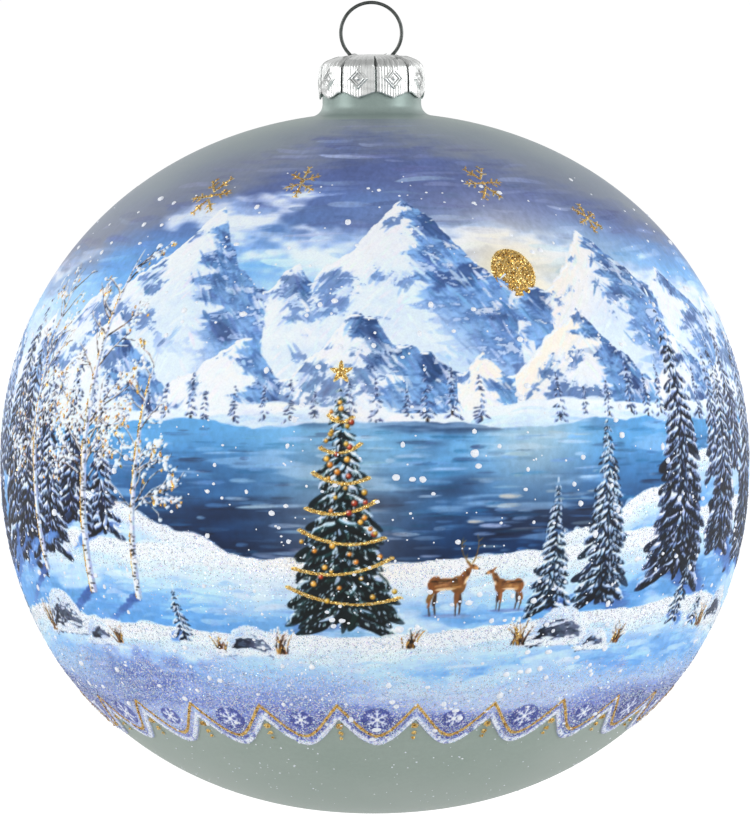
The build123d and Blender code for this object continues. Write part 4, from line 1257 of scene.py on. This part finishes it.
# ------------------------------------------------------------------ cap
def cap_mesh():
    """The stamped crown cap: nine petals with embossed diamonds and ribs,
    slits between them, a fluted dome with two slots for the wire."""
    petals, pitch = 9, 2 * math.pi / 9
    first = math.radians(-90 - 15.2)                 # middle of one petal, in XY
    across = 54
    down = 64
    up = 32
    shoulder = [(10.42, 78.1), (10.42, 79.0), (10.2, 79.62), (9.35, 80.48), (7.1, 81.25), (4.2, 81.66), (0.0, 81.8)]
    pr = np.array([p[0] for p in shoulder])
    pz = np.array([p[1] for p in shoulder])
    along = np.concatenate([[0], np.cumsum(np.hypot(np.diff(pr), np.diff(pz)))])
    f = np.linspace(0, 1, up + 1)
    s = f * along[-1]

    def rounded(vals):
        out = np.interp(s, along, vals)
        for _ in range(3):
            out[1:-1] = (out[:-2] + 2 * out[1:-1] + out[2:]) / 4
        return out
    dome_r, dome_z = rounded(pr), rounded(pz)
    dome_r[-1] = 0.25
    # the third list holds painted shade for each vertex of the cap
    verts, faces, crease_shade = [], [], []
    rows = down + up + 1
    dice = np.random.default_rng(12)
    strike = dice.random((petals, 17)) ** 1.2        # how hard each rib was struck
    lean = dice.uniform(-1.2, 1.2, petals)
    for k in range(petals):
        mid = first + k * pitch
        start = len(verts)
        for j in range(rows):
            for i in range(across + 1):
                x = -1 + 2 * i / across              # across the petal
                if j <= down:                        # the skirt, from its lower edge
                    g = j / down
                    edge = 73.95 - 1.15 * (0.5 + 0.5 * math.cos(math.pi * abs(x) ** 0.86)) \
                        + 0.10 * math.sin(abs(x) * 9.0) * (1 - abs(x))
                    z = edge + (78.1 - edge) * g
                    r = 10.55 - 0.13 * min(1.0, max(0.0, (z - 76.5) / 1.6)) ** 2
                    r -= 0.10 * max(0.0, 1 - (z - edge) / 0.45) ** 2
                else:
                    r, z = dome_r[j - down], dome_z[j - down]
                gap = 0.15 / 10.5 if z < 79.1 else 0.15 / 10.5 * max(0.0, 1 - (z - 79.1) / 0.3)
                ang = mid + x * (pitch / 2 - gap)
                arc = x * pitch / 2 * 10.5           # mm across, -3.66 to 3.66
                edge_mm = (1 - abs(x)) * 3.66        # mm from the slit
                dz = z - 76.78
                lift, dark = 0.0, 0.0
                rib = int(round(arc / 0.60)) + 8
                some = strike[k, rib % 17]
                if z < 79.6:
                    l1 = abs(arc) + abs(dz)
                    # way and hard weight the painted shade by side, as if light fell on the embossing from one side
                    way = math.atan2(dz, arc) - lean[k]
                    hard = 0.62 + 0.38 * math.cos(way * 1.0) * math.cos(2 * (way - 0.785))
                    fade = min(1.0, max(0.0, (79.5 - z) / 0.5))
                    for ring, wide, tall in ((1.93, 0.16, 0.21), (1.30, 0.15, 0.19)):
                        d = (l1 - ring) / wide
                        lift += tall * math.exp(-d * d) * fade
                        # painted shade: a dark line along the inner side of each embossed ring
                        dd = (l1 - ring + 0.27) / 0.135
                        dark += 1.75 * hard * math.exp(-dd * dd) * fade
                    lift += 0.17 * max(0.0, 1 - l1 / 0.5)
                    # painted shade round the central boss, heavier on one side
                    dark += 0.75 * math.exp(-((l1 - 0.52) / 0.12) ** 2) * (0.4 + 0.6 * (math.sin(way) < 0.3))
                    ribs = max(0.0, min(1.0, (l1 - 2.2) / 0.4))
                    wave = math.cos(arc * 2 * math.pi / 0.60)
                    tall = ribs * min(1.0, max(0.0, (z - 72.9) / 0.7))
                    lift += 0.085 * wave * tall * (0.35 + 0.65 * some)
                    # painted shade in the troughs between the ribs
                    dark += 0.85 * some * max(0.0, -wave) ** 1.6 * ribs \
                        * (0.8 + 0.2 * math.sin(z * (0.9 + some) + 5 * some + k) ** 2)
                    lift -= 0.16 * math.exp(-(edge_mm / 0.20) ** 2)
                    # painted shade along the slit edges, so that each slit reads as a dark line
                    dark += 1.0 * math.exp(-(edge_mm / 0.13) ** 2)
                if z > 79.0:                         # flutes over the shoulder
                    g = min(1.0, (z - 79.0) / 0.7) * min(1.0, max(0.0, (r - 3.0) / 3.5))
                    wave = math.cos(arc * 2 * math.pi / 1.22 + 1.2 * lean[k])
                    some = strike[k, int(round(arc / 1.22)) + 5]
                    lift += 0.095 * wave * g * some
                    # painted shade in the troughs of the flutes
                    dark += 0.50 * max(0.0, -wave) ** 2 * g * some
                if 79.4 < z < 81.3:                  # the pleat above each slit
                    wide = 0.06 + 0.46 * min(1.0, (81.3 - z) / 1.5)
                    pleat = max(0.0, 1 - edge_mm / wide) * min(1.0, (z - 79.4) / 0.2)
                    lift -= 0.50 * min(1.0, pleat * 1.6)
                    # painted shade in the sunken pleat
                    dark += 0.85 * min(1.0, pleat * 2.2)
                    lift += 0.12 * math.exp(-((edge_mm - wide - 0.12) / 0.14) ** 2)
                # wobble of thin sheet
                lift += 0.035 * math.sin(ang * 5 + z * 1.7 + k) * math.sin(z * 2.3 + k * 1.3)
                up_share = 0.0 if j <= down else min(1.0, (z - 78.1) / 3.0)
                rr = r + lift * (1 - up_share * 0.75)
                zz = z + lift * up_share
                verts.append((rr * math.cos(ang) * MM, rr * math.sin(ang) * MM, (EQ + zz) * MM))
                # the summed painted shade is kept per vertex, for the silver material to darken
                crease_shade.append(min(1.0, dark))
        for j in range(rows - 1):
            for i in range(across):
                a = start + j * (across + 1) + i
                faces.append((a, a + 1, a + across + 2, a + across + 1))
    n = len(verts)
    verts.append((0, 0, (EQ + 81.8) * MM))
    crease_shade.append(0.0)
    for k in range(petals):
        a = k * rows * (across + 1) + (rows - 1) * (across + 1)
        for i in range(across):
            faces.append((a + i, a + i + 1, n))
    me = bpy.data.meshes.new("cap_stamped")
    me.from_pydata(verts, [], faces)
    # the painted shade goes onto the mesh as a point attribute
    att = me.attributes.new("crease_shade", "FLOAT", "POINT")
    att.data.foreach_set("value", np.array(crease_shade, np.float32))
    import bmesh
    bm = bmesh.new()
    bm.from_mesh(me)
    bmesh.ops.remove_doubles(bm, verts=bm.verts, dist=0.000004)
    bmesh.ops.recalc_face_normals(bm, faces=bm.faces)

    def slot_at(p):                                  # under 1 inside a wire slot
        dx = (abs(p.x) / MM - 4.05) / 0.875
        return (dx ** 4 + (p.y / MM / 0.525) ** 4) ** 0.25 if p.z > (EQ + 80) * MM else 9.0
    gone = [fc for fc in bm.faces if slot_at(fc.calc_center_median()) < 1]
    bmesh.ops.delete(bm, geom=gone, context="FACES")
    for v in bm.verts:
        if v.is_boundary and slot_at(v.co) < 2.0:
            k, side = slot_at(v.co), math.copysign(4.05 * MM, v.co.x)
            v.co.x, v.co.y = side + (v.co.x - side) / k, v.co.y / k
    bm.to_mesh(me)
    bm.free()
    return me


def apply_modifiers(ob):
    dg = bpy.context.evaluated_depsgraph_get()
    me = bpy.data.meshes.new_from_object(ob.evaluated_get(dg), depsgraph=dg)
    ob.modifiers.clear()
    old, ob.data = ob.data, me
    bpy.data.meshes.remove(old)


def make_cap():
    cap = add_object("cap_stamped", cap_mesh())
    skin = cap.modifiers.new("sheet", "SOLIDIFY")
    skin.thickness, skin.offset, skin.use_even_offset = 0.00030, -1.0, False
    skin.use_rim = True
    bpy.context.view_layer.update()
    apply_modifiers(cap)
    cap.data.name = "cap_stamped"
    give(cap, silver_material())
    for p in cap.data.polygons:
        p.material_index = 0
    cap.data.shade_smooth()
    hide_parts("cap")
    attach(cap, "hanger")
    return cap


make_cap()


# ------------------------------------------------------------------ painting
def bilinear(field, u, v):
    """Samples a canvas field at column u and row v (floats); columns wrap."""
    u0, v0 = np.floor(u).astype(int), np.floor(v).astype(int)
    fu, fv = (u - u0)[None, :], (v - v0)[:, None]
    if field.ndim == 3:
        fu, fv = fu[..., None], fv[..., None]
    ua, ub = u0 % CW, (u0 + 1) % CW
    va, vb = np.clip(v0, 0, CH - 1), np.clip(v0 + 1, 0, CH - 1)
    low = field[np.ix_(va, ua)] * (1 - fu) + field[np.ix_(va, ub)] * fu
    high = field[np.ix_(vb, ua)] * (1 - fu) + field[np.ix_(vb, ub)] * fu
    return low * (1 - fv) + high * fv


def surface(az, t, lift):
    """Points on the ball for azimuth and swing angle in degrees, lifted off it by mm."""
    r, z = swing_rz(t)
    r2, z2 = swing_rz(t + 0.02)
    dr, dz = r2 - r, z2 - z
    ln = np.hypot(dr, dz)
    nr, nz = dz / ln, -dr / ln
    rr, zz = r + nr * lift, z + nz * lift
    a = np.radians(az)
    return rr * np.sin(a), -rr * np.cos(a), EQ + zz


def shell_tile(name, az0, az1, step, strips, material):
    """One slice of the painted skin, az0 to az1 degrees wide, pole to pole."""
    arc = 203.0
    na, nt = int(math.ceil(math.radians(az1 - az0) * A_R / step)), int(math.ceil(arc / step))
    da, dt = (az1 - az0) / na, (T_HIGH - T_LOW) / nt
    az = az0 + da * (np.arange(-1, na + 2))
    t = T_LOW + dt * (np.arange(-1, nt + 2))
    u, v = (az + 180) / 360 * CW - 0.5, (t - T_LOW) / (T_HIGH - T_LOW) * CH - 0.5
    col = bilinear(COL, u, v)
    rest = bilinear(np.dstack([ALP, HGT, GLI, GLD]), u, v)
    alpha, height, gli, gld = (rest[..., k] for k in range(4))
    ease = np.clip((np.minimum(t - T_LOW, T_HIGH - t) / 1.2), 0, 1)[:, None]
    alpha = alpha * ease
    lift = 0.022 + np.clip(alpha, 0, 1) * 0.018 + np.clip(height, 0, 1.2) * np.clip(alpha * 1.4, 0, 1)
    x, y, z = surface(az[None, :], t[:, None], lift)
    p = np.stack([x, y, z], -1)
    e1 = p[1:-1, 2:] - p[1:-1, :-2]
    e2 = p[2:, 1:-1] - p[:-2, 1:-1]
    nrm = np.cross(e1, e2)
    nrm /= np.linalg.norm(nrm, axis=-1, keepdims=True) + 1e-12
    p = p[1:-1, 1:-1] * MM
    col, alpha, gli, gld = col[1:-1, 1:-1], alpha[1:-1, 1:-1], gli[1:-1, 1:-1], gld[1:-1, 1:-1]
    h, w = alpha.shape
    used = alpha > 0.012
    cell = used[:-1, :-1] | used[1:, :-1] | used[:-1, 1:] | used[1:, 1:]
    jj, ii = np.nonzero(cell)
    if not len(jj):
        return None
    a = jj * w + ii
    quads = np.stack([a, a + 1, a + w + 1, a + w], 1)
    keep = np.zeros(h * w, bool)
    keep[quads.ravel()] = True
    index = np.cumsum(keep) - 1
    quads_new = index[quads]
    me = bpy.data.meshes.new(name)
    me.vertices.add(int(keep.sum()))
    me.vertices.foreach_set("co", p.reshape(-1, 3)[keep].astype(np.float32).ravel())
    nq = len(quads_new)
    me.loops.add(nq * 4)
    me.loops.foreach_set("vertex_index", quads_new.ravel().astype(np.int32))
    me.polygons.add(nq)
    me.polygons.foreach_set("loop_start", np.arange(0, nq * 4, 4, dtype=np.int32))
    me.update(calc_edges=True)
    uv = me.uv_layers.new(name="OFBake")
    rows_in = (h - 1) / strips
    strip = np.minimum((jj / rows_in).astype(int), strips - 1)
    cu = np.stack([ii, ii + 1, ii + 1, ii], 1) / (w - 1)
    cv = np.stack([jj, jj, jj + 1, jj + 1], 1) - (strip * rows_in)[:, None]
    uu = (strip[:, None] + 0.012 + 0.976 * cu) / strips
    vv = 0.004 + 0.992 * np.clip(cv / (rows_in + 1), 0, 1)
    uv.data.foreach_set("uv", np.stack([uu, vv], -1).astype(np.float32).ravel())
    ca = me.color_attributes.new("paint", "FLOAT_COLOR", "POINT")
    ca.data.foreach_set("color", np.concatenate([to_linear(col), np.clip(alpha, 0, 1)[..., None]], -1)
                        .reshape(-1, 4)[keep].astype(np.float32).ravel())
    cb = me.color_attributes.new("fx", "FLOAT_COLOR", "POINT")
    cb.data.foreach_set("color", np.stack([gli, gld, 0 * gli, 0 * gli + 1], -1)
                        .reshape(-1, 4)[keep].astype(np.float32).ravel())
    me.shade_smooth()
    me.normals_split_custom_set_from_vertices(nrm.reshape(-1, 3)[keep])
    me.materials.append(material)
    ob = add_object(name, me)
    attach(ob, "ball")
    return ob


def paint_shell():
    material = paint_material()
    fine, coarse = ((0.222, 0.36))
    for k in range(10):
        shell_tile("painting_front_%02d" % k, -90 + 18 * k, -72 + 18 * k, fine, 3, material)
    for k in range(4):
        shell_tile("painting_back_%02d" % k, 90 + 45 * k, 135 + 45 * k, coarse, 2, material)


def frames_at(az, t):
    """East, north and outward unit vectors on the ball."""
    a = np.radians(az)
    r, z = swing_rz(t)
    r2, z2 = swing_rz(t + 0.02)
    ln = np.hypot(r2 - r, z2 - z)
    tr, tz = (r2 - r) / ln, (z2 - z) / ln
    east = np.stack([np.cos(a), np.sin(a), 0 * a], -1)
    north = np.stack([tr * np.sin(a), -tr * np.cos(a), tz], -1)
    out = np.stack([tz * np.sin(a), -tz * np.cos(a), -tr], -1)
    return east, north, out


def height_at(az, t):
    """Paint height in mm and coverage at points."""
    u = ((az + 180) / 360 * CW).astype(int) % CW
    v = np.clip(((t - T_LOW) / (T_HIGH - T_LOW) * CH).astype(int), 0, CH - 1)
    return HGT[v, u], ALP[v, u], v, u


def loose_mesh(name, points, polys, tint, material, smooth_it=False):
    """points: (n, k, 3) mm corners of n flakes; polys: faces of one flake."""
    n, k = points.shape[:2]
    verts = points.reshape(-1, 3) * MM
    sizes = [len(p) for p in polys]
    flat = np.concatenate([np.array(p) for p in polys])
    loops = (flat[None, :] + (np.arange(n) * k)[:, None]).ravel().astype(np.int32)
    totals = np.tile(sizes, n)
    starts = np.concatenate([[0], np.cumsum(totals)[:-1]]).astype(np.int32)
    me = bpy.data.meshes.new(name)
    me.vertices.add(n * k)
    me.vertices.foreach_set("co", verts.astype(np.float32).ravel())
    me.loops.add(len(loops))
    me.loops.foreach_set("vertex_index", loops)
    me.polygons.add(len(starts))
    me.polygons.foreach_set("loop_start", starts)
    me.update(calc_edges=True)
    if tint is not None:
        ca = me.color_attributes.new("tint", "FLOAT_COLOR", "POINT")
        rgba = np.concatenate([np.repeat(tint, k, 0), np.ones((n * k, 1))], 1)
        ca.data.foreach_set("color", rgba.astype(np.float32).ravel())
    if smooth_it:
        me.shade_smooth()
    else:
        me.shade_flat()
    me.materials.append(material)
    ob = add_object(name, me)
    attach(ob, "ball")
    return ob


def flakes(name, az, t, size, tilt, tint, material, g):
    """Hexagonal flakes lying at random angles on the paint."""
    h, _, _, _ = height_at(az, t)
    x, y, z = surface(az, t, h + 0.075)
    size = np.minimum(size, (0.48 - h - 0.075) / 0.72)       # small ones on the thickest paint
    c = np.stack([x, y, z], -1)
    east, north, out = frames_at(az, t)
    lean = g.normal(0, 1, (len(az), 2)) * math.radians(tilt)
    lean = np.clip(lean, -0.8, 0.8)
    nrm = out + east * lean[:, :1] + north * lean[:, 1:]
    nrm /= np.linalg.norm(nrm, axis=1, keepdims=True)
    a = east - nrm * (east * nrm).sum(1, keepdims=True)
    a /= np.linalg.norm(a, axis=1, keepdims=True)
    b = np.cross(nrm, a)
    turn = g.uniform(0, math.pi / 3, len(az))
    ang = turn[:, None] + np.arange(6) * (math.pi / 3)
    pts = c[:, None, :] + size[:, None, None] * (np.cos(ang)[..., None] * a[:, None, :]
                                                 + np.sin(ang)[..., None] * b[:, None, :])
    return loose_mesh(name, pts, [tuple(range(6))], tint, material)


def pick(weight, n, g):
    """n random canvas places with chance by weight (per cell area)."""
    w = (weight * (PX_U * PX_V)[:, None]).astype(np.float64).ravel()
    c = np.cumsum(w)
    at = np.searchsorted(c, g.random(n) * c[-1])
    v, u = np.divmod(at, CW)
    az = (u + g.random(n)) / CW * 360 - 180
    t = T_LOW + (v + g.random(n)) / CH * (T_HIGH - T_LOW)
    return az, t


def strew():
    g = np.random.default_rng(77)
    few = 1.0
    # gold
    az, t = pick(np.where(GLD > 0.45, GLD * np.clip(ALP, 0, 1), 0), int(9000 * few), g)
    shade = g.random(len(az))[:, None]
    gold = np.array([0.55, 0.30, 0.06]) * (1 - shade) + np.array([1.0, 0.78, 0.34]) * shade
    flakes("glitter_gold", az, t, g.uniform(0.09, 0.17, len(az)), 24, gold,
           flake_material("gold_flakes", 1.0, 0.22), g)
    # iridescent
    az, t = pick(np.clip(GLI, 0, 1) ** 1.3 * np.clip(ALP, 0, 1), int(36000 * few), g)
    table = np.array([[0.95, 0.97, 1.0], [0.55, 0.83, 1.0], [0.90, 0.78, 1.0], [0.62, 0.68, 1.0],
                      [0.97, 0.97, 1.0], [0.80, 0.90, 1.0], [0.74, 1.0, 0.95], [0.90, 0.92, 1.0]])
    tint = table[g.integers(0, len(table), len(az))] * g.uniform(0.55, 1.0, len(az))[:, None]
    flakes("glitter_pearl", az, t, g.uniform(0.07, 0.15, len(az)), 22, tint,
           flake_material("pearl_flakes", 0.9, 0.16), g)
    # snow dots
    zrow = Z_ROWS[:, None]
    w = np.clip(ALP, 0, 1) * (0.45 + 0.9 * np.exp(-((zrow + 30) / 26) ** 2)) * (zrow < 58)
    n = int(2600 * few)
    az, t = pick(w, n, g)
    size = 0.16 + 0.52 * g.random(n) ** 3.2
    big = g.random(n) < 0.02
    size = np.where(big, g.uniform(0.6, 0.85, n), size)
    spray_az = g.uniform(-180, 180, int(420 * few))
    spray_t = z_to_t(-g.uniform(50, 67, len(spray_az)))
    az, t = np.concatenate([az, spray_az]), np.concatenate([t, spray_t])
    size = np.concatenate([size, g.uniform(0.08, 0.20, len(spray_az))])
    n = len(az)
    h, _, _, _ = height_at(az, t)
    x, y, z = surface(az, t, h)
    c = np.stack([x, y, z], -1)
    east, north, out = frames_at(az, t)
    seg = 12
    ang = np.arange(seg) * (2 * math.pi / seg)
    wob = 1 + g.normal(0, 0.06, (n, seg))
    long = g.uniform(0.85, 1.2, (n, 1))
    lump = np.minimum(size * 0.45, 0.46 - h) / 0.45
    rings = []
    for rr, hh in ((1.0, -0.10), (0.97, 0.12), (0.78, 0.30), (0.42, 0.41)):
        k = size[:, None] * rr * wob
        rings.append(c[:, None, :] + (k * np.cos(ang) * long)[..., None] * east[:, None, :]
                     + (k * np.sin(ang) / long)[..., None] * north[:, None, :]
                     + (lump * hh + 0.02)[:, None, None] * out[:, None, :])
    top = (c + (lump * 0.45 + 0.02)[:, None] * out)[:, None, :]
    pts = np.concatenate(rings + [top], 1)
    polys = []
    for r in range(3):
        polys += [(r * seg + k, r * seg + (k + 1) % seg, (r + 1) * seg + (k + 1) % seg, (r + 1) * seg + k)
                  for k in range(seg)]
    polys += [(3 * seg + k, 3 * seg + (k + 1) % seg, 4 * seg) for k in range(seg)]
    paste = snow_material()
    for name, here in (("snow_dots_front", np.abs(az) < 84), ("snow_dots_back", np.abs(az) >= 84)):
        loose_mesh(name, pts[here], polys, None, paste, True)


compose()
paint_shell()
strew()
